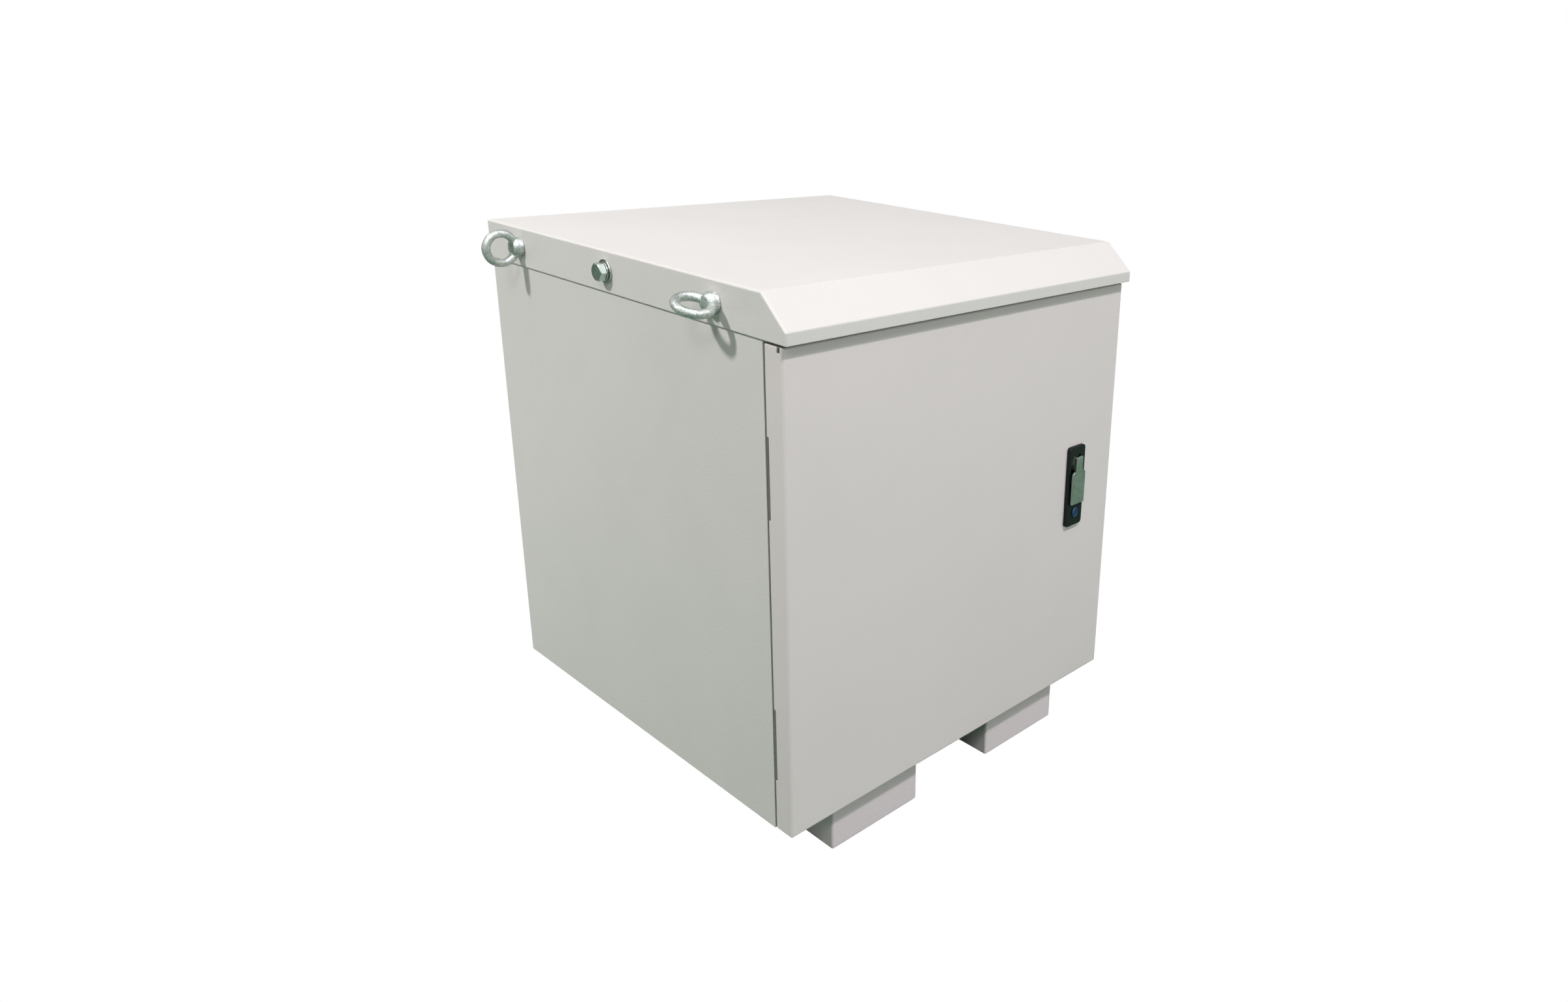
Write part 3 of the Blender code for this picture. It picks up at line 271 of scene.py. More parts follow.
def newGroup(name, inputs, outputs):
    # Node group with named sockets. Each entry is a name, a socket kind and, for inputs, a default
    group = bpy.data.node_groups.new(name, "ShaderNodeTree")
    for label, kind, value in inputs:
        socket = group.interface.new_socket(label, in_out="INPUT", socket_type="NodeSocket" + kind)
        socket.default_value = value
    for label, kind in outputs:
        group.interface.new_socket(label, in_out="OUTPUT", socket_type="NodeSocket" + kind)
    entry, leave = group.nodes.new("NodeGroupInput"), group.nodes.new("NodeGroupOutput")
    return group, entry.outputs, leave.inputs


def times(tree, first, second):
    return addNode(tree, "Math", {0: first, 1: second}, operation="MULTIPLY").outputs[0]


def plus(tree, first, second):
    return addNode(tree, "Math", {0: first, 1: second}, operation="ADD").outputs[0]


def blendColours(tree, share, first, second):
    # Mix of two colours, each a socket or three numbers
    ends = [(*end, 1) if isinstance(end, tuple) else end for end in (first, second)]
    return addNode(tree, "Mix", {0: share, 6: ends[0], 7: ends[1]}, data_type="RGBA").outputs[2]


def noise(tree, place, scale, detail=3.0, rough=0.5):
    # Fractal noise between 0 and 1
    inputs = {"Vector": place, "Scale": scale, "Detail": detail, "Roughness": rough}
    return addNode(tree, "TexNoise", inputs).outputs["Fac"]


def spread(tree, value, low, high, toLow=0.0, toHigh=1.0):
    # Value carried from the range low to high into toLow to toHigh and held inside it
    inputs = {0: value, 1: low, 2: high, 3: toLow, 4: toHigh}
    return addNode(tree, "MapRange", inputs).outputs[0]


def bump(tree, height, normal=None):
    # Normal bent by a height in metres, on top of another normal if there is one
    inputs = {"Height": height, "Strength": 1.0, "Distance": 1.0}
    if normal is not None:
        inputs["Normal"] = normal
    return addNode(tree, "Bump", inputs).outputs[0]


def makeSheetGroup():
    # Fine orange peel, slow waviness, soft soiling and rubbed edges for painted sheet. An edge is where
    # the bevelled normal turns away from the flat one, so their dot product falls below one
    group, given, out = newGroup(
        "paintedSheet",
        [
            ("Peel scale", "Float", 330.0), ("Peel height", "Float", 0.00035),
            ("Wave height", "Float", 0.0006), ("Edge width", "Float", 0.0012),
        ],
        [("Soil", "Float"), ("Edge", "Float"), ("Grain", "Float"), ("Normal", "Vector")],
    )
    place = addNode(group, "TexCoord").outputs["Object"]
    peel = noise(group, place, given["Peel scale"], 2.0, 0.55)
    fine = noise(group, place, times(group, given["Peel scale"], 3.1), 2.0, 0.5)
    wave = noise(group, place, 3.2, 1.0, 0.4)
    soil = spread(group, noise(group, place, 5.5, 5.0, 0.62), 0.42, 0.72)
    grain = spread(group, noise(group, place, 1500.0, 2.0, 0.6), 0.35, 0.65)
    rubbed = addNode(group, "Bevel", {"Radius": given["Edge width"]}, samples=4).outputs[0]
    flat = addNode(group, "NewGeometry").outputs["Normal"]
    away = addNode(group, "VectorMath", {0: rubbed, 1: flat}, operation="DOT_PRODUCT").outputs["Value"]
    edge = spread(group, away, 0.985, 0.86)
    coarse = times(group, peel, given["Peel height"])
    faint = times(group, fine, times(group, given["Peel height"], 0.22))
    peeled = bump(group, plus(group, coarse, faint), rubbed)
    waved = bump(group, times(group, wave, given["Wave height"]), peeled)
    for label, value in (("Soil", soil), ("Edge", edge), ("Grain", grain), ("Normal", waved)):
        group.links.new(value, out[label])
    return group


def makeMetalGroup():
    # Zinc flakes from a cell pattern, scratches from stretched noise, stains, dark specks and pits
    group, given, out = newGroup(
        "platedMetal",
        [
            ("Flake scale", "Float", 260.0), ("Pit height", "Float", 0.00006),
            ("Brush", "Vector", (1.0, 1.0, 1.0)),
        ],
        [(label, "Float") for label in ("Flake", "Stain", "Streak", "Speck")] + [("Normal", "Vector")],
    )
    place = addNode(group, "TexCoord").outputs["Object"]
    inputs = {"Vector": place, "Scale": given["Flake scale"], "Randomness": 1.0}
    cells = addNode(group, "TexVoronoi", inputs).outputs["Color"]
    flake = addNode(group, "SeparateColor", {0: cells}).outputs[0]
    brushed = addNode(group, "Mapping", {"Vector": place, "Scale": given["Brush"]}).outputs[0]
    streak = noise(group, brushed, 240.0, 4.0, 0.6)
    stain = spread(group, noise(group, place, 45.0, 5.0, 0.65), 0.40, 0.68)
    pits = noise(group, place, times(group, given["Flake scale"], 2.6), 4.0, 0.7)
    dark = noise(group, place, times(group, given["Flake scale"], 1.5), 3.0, 0.75)
    speck = spread(group, dark, 0.50, 0.60)
    pitted = bump(group, times(group, pits, given["Pit height"]))
    made = {"Flake": flake, "Stain": stain, "Streak": streak, "Speck": speck, "Normal": pitted}
    for label, value in made.items():
        group.links.new(value, out[label])
    return group


def newMaterial(name):
    # New material with its node tree and its Principled shader
    material = bpy.data.materials.new(name)
    material.use_nodes = True
    tree = material.node_tree
    return material, tree, tree.nodes["Principled BSDF"]


sheetGroup = makeSheetGroup()
metalGroup = makeMetalGroup()

# Paints: base colour, colour where soiled, colour on worn edges, roughness and height of the peel in metres
paintValues = {
    "powderCoat": {
        "colour": (0.615, 0.60, 0.58),
        "soil": (0.56, 0.55, 0.525),
        "worn": (0.72, 0.71, 0.70),
        "rough": 0.46,
        "peelHeight": 0.0002,
    },
    # The door's paint is the cabinet's paint made lighter and pinker: painted light on the door's face
    "doorCoatWithPaintedLight": {
        "colour": (0.642, 0.598, 0.592),
        "soil": (0.597, 0.559, 0.548),
        "worn": (0.73, 0.71, 0.70),
        "rough": 0.46,
        "peelHeight": 0.0001,
    },
    "skidCoat": {
        "colour": (0.655, 0.590, 0.608),
        "soil": (0.60, 0.545, 0.558),
        "worn": (0.72, 0.67, 0.69),
        "rough": 0.52,
        "peelHeight": 0.00035,
    },
}
paintShares = {"soil": 0.35, "wear": 0.45, "gloss": 0.30, "peelScale": 330.0, "waveHeight": 0.0006}


def paintedMetal(name):
    # Powder coat: base colour varied by soiling, lighter on rubbed edges, orange peel in the normal
    values, shares = paintValues[name], paintShares
    material, tree, shader = newMaterial(name)
    heights = {"Peel height": values["peelHeight"], "Wave height": shares["waveHeight"]}
    inputs = {"Peel scale": shares["peelScale"], **heights}
    sheet = addNode(tree, "Group", inputs, node_tree=sheetGroup).outputs
    soil = times(tree, sheet["Soil"], shares["soil"])
    wear = times(tree, sheet["Edge"], shares["wear"])
    soiled = blendColours(tree, soil, values["colour"], values["soil"])
    tree.links.new(blendColours(tree, wear, soiled, values["worn"]), shader.inputs["Base Color"])
    rough = spread(tree, sheet["Grain"], 0.0, 1.0, values["rough"] - 0.05, values["rough"] + 0.07)
    tree.links.new(rough, shader.inputs["Roughness"])
    tree.links.new(sheet["Normal"], shader.inputs["Normal"])
    shader.inputs["Specular IOR Level"].default_value = shares["gloss"]
    return material


# Metals: tones, roughness, flakes in a metre, height of the pits, stretch of the scratches, and the
# shares of the dark tone that flakes and specks bring in. The green cast in the tones of the zincs, the
# chrome and the paddle steel is a painted reflection of green surroundings
metalDefaults = {
    "flake": 260.0, "pit": 0.00006, "brush": (1, 1, 1), "spangle": 0.35, "speck": 0.1, "metallic": 1.0,
}
metalValues = {
    # green cast of both tones: painted reflection
    "forgedZinc": {
        "colour": (0.86, 0.89, 0.87), "dark": (0.25, 0.32, 0.28), "rough": 0.32, "flake": 420.0,
        "pit": 0.00045, "spangle": 0.38, "speck": 0.75, "metallic": 0.75,
    },
    "zinc": {
        "colour": (0.78, 0.80, 0.78), "dark": (0.52, 0.57, 0.54), "rough": 0.24, "flake": 300.0,
        "pit": 0.00002,
    },
    # green cast of both tones: painted reflection
    "boltZinc": {
        "colour": (0.78, 0.86, 0.80), "dark": (0.36, 0.46, 0.40), "rough": 0.36, "flake": 700.0,
        "pit": 0.00004,
    },
    # green cast of both tones: painted reflection
    "paddleSteel": {
        "colour": (0.37, 0.45, 0.39), "dark": (0.28, 0.35, 0.30), "rough": 0.36, "flake": 900.0,
        "pit": 0.00002,
    },
    "chrome": {
        "colour": (0.74, 0.77, 0.75), "dark": (0.55, 0.60, 0.57), "rough": 0.16, "flake": 200.0,
        "pit": 0.00001, "spangle": 0.15,
    },
    "steelPlate": {
        "colour": (0.66, 0.68, 0.68), "dark": (0.45, 0.47, 0.47), "rough": 0.34, "flake": 60.0,
        "pit": 0.00002, "brush": (1, 1, 14),
    },
    "coreSteel": {
        "colour": (0.30, 0.31, 0.34), "dark": (0.16, 0.17, 0.19), "rough": 0.42, "flake": 60.0,
        "brush": (1, 60, 1), "spangle": 0.2,
    },
    "canMetal": {
        "colour": (0.74, 0.75, 0.76), "dark": (0.55, 0.56, 0.58), "rough": 0.30, "flake": 40.0,
        "brush": (1, 1, 0.05),
    },
    "brassMetal": {
        "colour": (0.78, 0.60, 0.28), "dark": (0.50, 0.36, 0.14), "rough": 0.26, "flake": 90.0,
    },
}


def platedMetal(name):
    # Metal whose flakes change its tone and roughness, with darker stains and specks
    values = {**metalDefaults, **metalValues[name]}
    material, tree, shader = newMaterial(name)
    inputs = {"Flake scale": values["flake"], "Pit height": values["pit"], "Brush": values["brush"]}
    metal = addNode(tree, "Group", inputs, node_tree=metalGroup).outputs
    tone = values["colour"]
    for label, share in (("Flake", values["spangle"]), ("Stain", 0.5), ("Speck", values["speck"])):
        tone = blendColours(tree, times(tree, metal[label], share), tone, values["dark"])
    tree.links.new(tone, shader.inputs["Base Color"])
    scratched = plus(tree, spread(tree, metal["Streak"], 0.3, 0.7, -0.06, 0.08), values["rough"])
    rough = plus(tree, scratched, times(tree, metal["Flake"], 0.08))
    tree.links.new(rough, shader.inputs["Roughness"])
    tree.links.new(metal["Normal"], shader.inputs["Normal"])
    shader.inputs["Metallic"].default_value = values["metallic"]
    return material


# Plastics, rubber and resin: colour, roughness, height and fineness of the grain, lacquer and gloss
plasticDefaults = {"rough": 0.45, "grain": 0.00003, "grainScale": 900.0, "lacquer": 0.0, "gloss": 0.5}
plasticValues = {
    # blackCoat: a black coat whose green tint is a painted reflection of green surroundings
    "blackCoat": {"colour": (0.0022, 0.0080, 0.0056), "rough": 0.46, "gloss": 0.28},
    "rubberBlack": {"colour": (0.016, 0.017, 0.017), "rough": 0.62, "grain": 0.00006},
    "bluePlastic": {"colour": (0.010, 0.052, 0.120), "rough": 0.40},
    "deviceGrey": {"colour": (0.085, 0.09, 0.10), "grain": 0.00005, "grainScale": 700.0},
    "coilResin": {
        "colour": (0.25, 0.045, 0.025), "rough": 0.38, "grain": 0.0001, "grainScale": 180.0, "lacquer": 0.3,
    },
    "lensGreen": {"colour": (0.02, 0.30, 0.06), "rough": 0.18, "grain": 0.00001, "lacquer": 0.6},
    "lensAmber": {"colour": (0.70, 0.30, 0.02), "rough": 0.18, "grain": 0.00001, "lacquer": 0.6},
    "lensRed": {"colour": (0.50, 0.02, 0.02), "rough": 0.18, "grain": 0.00001, "lacquer": 0.6},
}


def moulded(name):
    # Moulded plastic or rubber: fine grain in the normal and dusty, rougher patches
    values = {**plasticDefaults, **plasticValues[name]}
    material, tree, shader = newMaterial(name)
    inputs = {"Peel scale": values["grainScale"], "Peel height": values["grain"], "Wave height": 0.00005}
    sheet = addNode(tree, "Group", inputs, node_tree=sheetGroup).outputs
    dusty = tuple(min(1.0, c * 1.3 + 0.002) for c in values["colour"])
    dust = times(tree, sheet["Soil"], 0.5)
    tree.links.new(blendColours(tree, dust, values["colour"], dusty), shader.inputs["Base Color"])
    rough = spread(tree, sheet["Soil"], 0.0, 1.0, values["rough"], values["rough"] + 0.12)
    tree.links.new(rough, shader.inputs["Roughness"])
    tree.links.new(sheet["Normal"], shader.inputs["Normal"])
    shader.inputs["Coat Weight"].default_value = values["lacquer"]
    shader.inputs["Specular IOR Level"].default_value = values["gloss"]
    return material


finishes = {name: paintedMetal(name) for name in paintValues}
finishes.update({name: platedMetal(name) for name in metalValues})
finishes.update({name: moulded(name) for name in plasticValues})
print("materials made")


def nodesWith(*words):
    # CAD nodes whose names hold one of the words
    return [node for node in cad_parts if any(word in node for word in words)]


# Which finish each CAD node that stays is given
nodeFinishes = {
    "powderCoat": ["floor_plate", "front_frame"],
    "rubberBlack": ["lock_seal"],
    "steelPlate": ["mounting_plate", "din_rail"],
    "brassMetal": ["earth_stud"],
    "blackCoat": ["breaker_toggle", *nodesWith("gland")],
    "zinc": ["lock_spindle", "lock_cam", "lock_nut", "lock_clamp", *nodesWith("lifting_rail", "hinge")],
}
for finish, nodes in nodeFinishes.items():
    for node in nodes:
        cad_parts[node].data.materials.clear()
        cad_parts[node].data.materials.append(finishes[finish])


def span(node):
    # Lowest and highest corner of a CAD node in metres
    low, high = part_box(node)
    return np.array(low), np.array(high)


def measure(node):
    # Lowest corner, highest corner, middle and size of a CAD node
    low, high = span(node)
    return low, high, (low + high) / 2, high - low


def lifted(rows, inset):
    # Rows drawn in by a further inset
    return [(given + inset, height) for given, height in rows]


nearAxis = 0.00001  # radius that closes a turned shape at its axis
past = 0.01  # how far a cutter runs past the piece that it cuts
signs = {"left": -1, "right": 1}  # which way each side lies along X


def rod(radius, start, end, low=0, high=0):
    # Profile of a rod to be turned: radius r along its length, and r - low or r - high at its ends,
    # reached over the same length
    foot = [(radius - low, start), (radius, start + low)] if low else [(radius, start)]
    head = [(radius, end - high), (radius - high, end)] if high else [(radius, end)]
    return [(nearAxis, start), *foot, *head, (nearAxis, end)]


def hole(place, radius, facing, start, end, sides=32):
    # Round cutter along the facing direction
    return lathe("cutter", rod(radius, start, end), facing, place, sides)


sheet = 0.002  # thickness of the folded steel
faceY = span("door")[0][1]
sideX = span("door")[1][0]

roofValues = {"lip": 0.013, "slopeStart": 0.038, "bend": 0.0025, "hole": 0.0066}


def sidePlaces():
    # Middle of each eye bolt and side bolt as (side, y, z)
    places = []
    for side in ("left", "right"):
        for node in ("front_eye_bolt", "side_bolt", "rear_eye_bolt"):
            places.append((side, *measure(f"{side}_{node}")[2][1:]))
    return places


def makeRoof():
    # Folded hood: its profile runs along X with every bend rounded, less the same shape one sheet smaller
    values = roofValues
    bend = values["bend"]
    (xLow, front, bottom), (xHigh, back, top) = span("roof")
    corners = [
        (front, bottom - past), (back, bottom - past), (back, top), (front + values["slopeStart"], top),
        (front, bottom + values["lip"]),
    ]
    outline = roundPolygon(corners, bend, 6)
    roof = slab("roofHood", outline, edgeRows(xLow, xHigh, bend), "right")
    hollow = lifted(edgeRows(xLow + sheet, xHigh - sheet, bend - sheet), sheet)
    underLow = (xLow - past, front - past, bottom - 2 * past)
    underHigh = (xHigh + past, back + past, bottom)
    cutters = [slab("cutter", outline, hollow, "right"), block("cutter", underLow, underHigh, 0.0001)]
    for side, y, z in sidePlaces():
        sign = signs[side]
        cutters.append(hole((sign * xHigh, y, z), values["hole"], side, -past, past))
    dress(carve(roof, cutters), "powderCoat", "cabinet", ["roof"])


panelValues = {"edge": 0.0006, "corner": 0.001, "topCorner": 0.006}


def makePanels():
    # Flat sheets with rounded edges and a larger round at the upper front corner, drilled for the eyes
    values = panelValues
    for side, sign in signs.items():
        low, high = span(f"{side}_panel")
        front, back, bottom, top = low[1], high[1], low[2], high[2]
        corners = [(front, bottom), (back, bottom), (back, top), (front, top)]
        outline = roundPolygon(corners, [values["corner"]] * 3 + [values["topCorner"]])
        panel = slab(f"{side}Panel", outline, edgeRows(low[0], high[0], values["edge"]), "right")
        cutters = [
            hole((sign * sideX, y, z), roofValues["hole"], side, -past, past)
            for there, y, z in sidePlaces() if there == side
        ]
        dress(carve(panel, cutters), "powderCoat", "cabinet", [f"{side}_panel"])
    rear = block("rearPanel", *span("rear_panel"), values["edge"], "front")
    dress(rear, "powderCoat", "cabinet", ["rear_panel"])


doorValues = {
    "bend": 0.0026,
    "corner": 0.0010,
    "slotWidth": 0.0044,
    "slotHeight": 0.0060,
    "slotDepth": 0.0045,
    "slotBack": 0.0012,
    "notchDepth": 0.004,
    "notchRoom": 0.003,
    "lockRoom": 0.0006,
}


def makeDoor():
    # Pan with a rounded face edge, hinge notches in its left flange and a slot beside each top corner
    values = doorValues
    _, high, middle, size = measure("door")
    depth = size[1]
    outline = roundBox(size[0], size[2], values["corner"])
    place = (middle[0], faceY, middle[2])
    door = slab("doorPan", outline, edgeRows(-depth, 0, values["bend"], 5, 0.0004), "front", place)
    inner = lifted(edgeRows(-depth - past, -sheet, 0.0008), sheet)
    cutters = [slab("cutter", outline, inner, "front", place)]
    room = values["notchRoom"]
    for name in ("lower", "upper"):
        leafLow, leafHigh = span(f"{name}_hinge_fixed_leaf")
        notchLow = (-sideX - past, faceY + depth - room, leafLow[2] - room)
        notchHigh = (-sideX + values["notchDepth"], faceY + depth + room, leafHigh[2] + room)
        cutters.append(block("cutter", notchLow, notchHigh, 0.0008, "right"))
    for sign in (-1, 1):
        slotY = faceY + values["bend"] + values["slotBack"]
        near, far = sorted((sign * (sideX + 0.002), sign * (sideX - values["slotDepth"])))
        slotLow = (near, slotY, high[2] - values["slotHeight"])
        slotHigh = (far, slotY + values["slotWidth"], high[2] + 0.004)
        cutters.append(block("cutter", slotLow, slotHigh, 0.0006, "right"))
    lockHole = [(0, -past), (0, past)]
    cutters.append(slab("cutter", lockOutline(values["lockRoom"]), lockHole, "front", lockPlace()))
    # the door pan gets the cabinet paint with painted light on its face
    dress(carve(door, cutters), "doorCoatWithPaintedLight", "door", ["door"])


skidValues = {
    "corner": 0.0032,
    "bend": 0.0024,
    "wall": 0.003,
    "flange": 0.032,
    "holeRadius": 0.007,
    "holeInset": 0.060,
}


def makeSkids():
    # Folded box with rounded bends, open underneath through a long slot, with two anchor holes
    values = skidValues
    wall, flange = values["wall"], values["flange"]
    for side, sign in signs.items():
        low, high, middle, size = measure(f"{side}_skid")
        place = (middle[0], middle[1], 0)
        outline = roundBox(size[0], size[1], values["corner"], 6)
        skid = slab(f"{side}Skid", outline, edgeRows(low[2], high[2], values["bend"]), "up", place)
        inner = lifted(edgeRows(low[2] + wall, high[2] - wall, 0.0008), wall)
        cutters = [slab("cutter", outline, inner, "up", place)]
        slotLow, slotHigh = low + flange, high - flange
        slotLow[2], slotHigh[2] = -past, 2 * past
        cutters.append(block("cutter", slotLow, slotHigh, 0.0004, corner=0.004))
        for y in (low[1] + values["holeInset"], high[1] - values["holeInset"]):
            anchor = (middle[0] + sign * (size[0] - flange) / 2, y, 0)
            cutters.append(hole(anchor, values["holeRadius"], "up", -past, past))
        dress(carve(skid, cutters), "skidCoat", "cabinet", [f"{side}_skid"])


# Radii and heights in metres, and the turn of each ring about its shank in degrees
eyeValues = {
    "ring": 0.0178,
    "section": 0.0052,
    "collar": 0.0122,
    "collarHeight": 0.0080,
    "taper": 0.0012,
    "boss": 0.0082,
    "bossHeight": 0.0114,
    "shank": 0.0050,
    "clear": 0.0003,
    "flatten": 0.97,
    "skin": 0.0002,
    "turns": {"left_front": -20, "left_rear": 90, "right_front": 20, "right_rear": 14},
}


def forgedWobble(u, v, seed):
    # Hammered unevenness of the ring's section: a sum of three waves in both angles
    first = np.sin(3 * u + 2 * v + seed) * 0.00010
    second = np.sin(7 * u - 3 * v + 2.1 * seed) * 0.00006
    return first + second + np.sin(13 * u + 5 * v + 0.7 * seed) * 0.00003


def makeEye(side, place, seed):
    # Ring ((R + r cos v) cos u, r sin v, (R + r cos v) sin u) turned about the shank, joined to a boss
    # on a tapered collar that is turned round the same shank
    values = eyeValues
    node = f"{side}_{place}_eye_bolt"
    low, high, middle, _ = measure(node)
    sign = signs[side]
    outer, inmost = (low[0], high[0]) if sign < 0 else (high[0], low[0])
    rise = values["clear"] + values["ring"] + values["section"]
    seat = (outer - sign * (2 * rise - values["clear"]), middle[1], middle[2])
    u = np.linspace(0, 2 * math.pi, 72, endpoint=False)[:, None]
    v = np.linspace(0, 2 * math.pi, 28, endpoint=False)[None, :]
    section = values["section"] - values["skin"] + forgedWobble(u, v, seed)
    across = values["ring"] + section * np.cos(v) * values["flatten"]
    x, y, z = across * np.cos(u), section * np.sin(v) + 0 * u, across * np.sin(u)
    turn = math.radians(values["turns"][f"{side}_{place}"])
    cos, sin = math.cos(turn), math.sin(turn)
    turned = np.stack([x * cos - y * sin, x * sin + y * cos, z + rise], -1)
    ring = gridObject("ring", turnTo(turned, side, seat), closeRows=True)
    collar, taper, tall = values["collar"], values["taper"], values["collarHeight"]
    end = abs(inmost - seat[0])
    profile = [
        (nearAxis, -end), (values["shank"], -end), (values["shank"], 0), (collar, 0),
        (collar - taper * 0.4, tall * 0.8), (collar - taper * 1.6, tall * 1.08),
        (values["boss"], values["bossHeight"]), (nearAxis, values["bossHeight"]),
    ]
    base = lathe(f"{side}{place.capitalize()}Eye", roundProfile(profile, 0.0010), side, seat, 56)
    dress(carve(base, [ring], "UNION"), "forgedZinc", "cabinet", [node])


boltValues = {
    "head": 0.019,
    "height": 0.0075,
    "shank": 0.006,
    "chamfer": 0.0014,
    "flatShare": 0.95,
    "boreRoom": 0.0004,
}


def makeSideBolts():
    # Hexagon met with a chamfered disc, a flat washer and a split spring washer
    values = boltValues
    radius, flat, tall = values["head"] / math.sqrt(3), values["head"] / 2, values["height"]
    turns = np.arange(6) * math.pi / 3
    hexagon = roundPolygon(np.stack([radius * np.cos(turns), radius * np.sin(turns)], 1), 0.0004, 2)
    bore = values["shank"] + values["boreRoom"]
    for side, sign in signs.items():
        low, high, middle, _ = measure(f"{side}_side_bolt")
        outer, inmost = (low[0], high[0]) if sign < 0 else (high[0], low[0])
        seat = (outer - sign * tall, middle[1], middle[2])
        head = slab(f"{side}SideBolt", hexagon, edgeRows(0, tall, 0.0002, 1), side, seat)
        disc = [
            (nearAxis, -0.001), (radius + 0.0002, -0.001), (radius + 0.0002, tall - values["chamfer"]),
            (flat * values["flatShare"], tall), (nearAxis, tall),
        ]
        carve(head, [lathe("cutter", disc, side, seat, 72)], "INTERSECT")
        shank = rod(values["shank"], -abs(inmost - seat[0]), 0.003, 0.0008)
        carve(head, [lathe("cutter", shank, side, seat, 48)], "UNION")
        dress(head, "boltZinc", "cabinet", [f"{side}_side_bolt"])
        low, high = span(f"{side}_flat_washer")
        rim, thick = (high[2] - low[2]) / 2, high[0] - low[0]
        seat = (high[0] if sign < 0 else low[0], middle[1], middle[2])
        corners = [(bore, 0), (rim, 0), (rim, thick), (bore, thick)]
        ring = roundProfile(corners + corners[:2], 0.0005)[1:-1]
        washer = lathe(f"{side}FlatWasher", ring, side, seat, 72, closed=True)
        dress(washer, "zinc", "cabinet", [f"{side}_flat_washer"])
        makeSpringWasher(side, sign, middle, bore)


springValues = {"climb": 0.0005, "start": 100, "sweep": 350}


def makeSpringWasher(side, sign, middle, bore):
    # Rectangular section swept round while it climbs: z = climb times the share of the sweep
    values = springValues
    low, high = span(f"{side}_spring_washer")
    rim, thick = (high[2] - low[2]) / 2, high[0] - low[0]
    climb = values["climb"]
    outline = roundBox(rim - bore, thick - climb, 0.0003, 2)(0)
    share = np.linspace(0, 1, 96)[:, None]
    turn = math.radians(values["start"]) + share * math.radians(values["sweep"])
    radius = (rim + bore) / 2 + outline[None, :, 0]
    height = (thick - climb) / 2 + outline[None, :, 1] + climb * share
    grid = np.stack([radius * np.cos(turn), radius * np.sin(turn), height], -1)
    seat = (high[0] if sign < 0 else low[0], middle[1], middle[2])
    washer = gridObject(f"{side}SpringWasher", turnTo(grid, side, seat))
    dress(washer, "zinc", "cabinet", [f"{side}_spring_washer"])


lockValues = {
    "corner": 0.0045,
    "edge": 0.0011,
    "rim": 0.0022,
    "bodyCorner": 0.0023,
    "bodyDepth": 0.014,
    "wellRadius": 0.0118,
    "wellDepth": 0.0085,
    "wellLength": 0.058,
    "spindleHole": 0.0053,
    "keyHole": 0.0043,
    "keyDrop": 0.093,
}


def lockPlace():
    # Middle of the lock on the face of the door
    middle = measure("lock_case")[2]
    return (middle[0], faceY, middle[2])


def lockOutline(gap):
    # Outline of the lock's body behind its rim, larger by the gap
    size = measure("lock_case")[3]
    room = 2 * (gap - lockValues["rim"])
    return roundBox(size[0] + room, size[2] + room, lockValues["bodyCorner"] + gap)


def makeLockCase():
    # Rounded plate with a body behind it, a round-topped well and holes for the spindle and the key
    values = lockValues
    low, high = span("lock_case")
    x, _, z = lockPlace()
    front = faceY - low[1]
    axisZ = measure("lock_spindle")[2][2]
    rim = roundBox(high[0] - low[0], high[2] - low[2], values["corner"], 8)
    rows = edgeRows(0.0016, front, values["edge"], 4, 0.0003)
    case = slab("lockCase", rim, rows, "front", (x, faceY, z))
    rows = [(0, -values["bodyDepth"]), (0, front - 0.002)]
    carve(case, [slab("cutter", lockOutline(0), rows, "front", (x, faceY, z))], "UNION")
    radius, length = values["wellRadius"], values["wellLength"]
    corners = [(-radius, -length), (radius, -length), (radius, radius), (-radius, radius)]
    well = roundPolygon(corners, (0.001, 0.001, radius - 0.0001, radius - 0.0001), 12)
    bed = front - values["wellDepth"]
    rows = [
        (0.0004, bed), (0, bed + 0.0004), (0, front - 0.0005), (-0.0006, front + 0.0001),
        (-0.0006, front + past),
    ]
    keyZ = high[2] - values["keyDrop"]
    cutters = [
        slab("cutter", well, rows, "front", (x, faceY, axisZ)),
        hole((x, faceY, axisZ), values["spindleHole"], "front", -3 * past, 2 * past),
        hole((x, faceY, keyZ), values["keyHole"], "front", -3 * past, 2 * past),
    ]
    dress(carve(case, cutters), "blackCoat", "door", ["lock_case"])


paddleValues = {
    "thick": 0.0026,
    "tall": 0.046,
    "shoulder": 0.0048,
    "foot": 0.0016,
    "edge": 0.0007,
    "tongue": 0.0056,
    "bore": 0.0012,
    "pin": 0.0010,
}


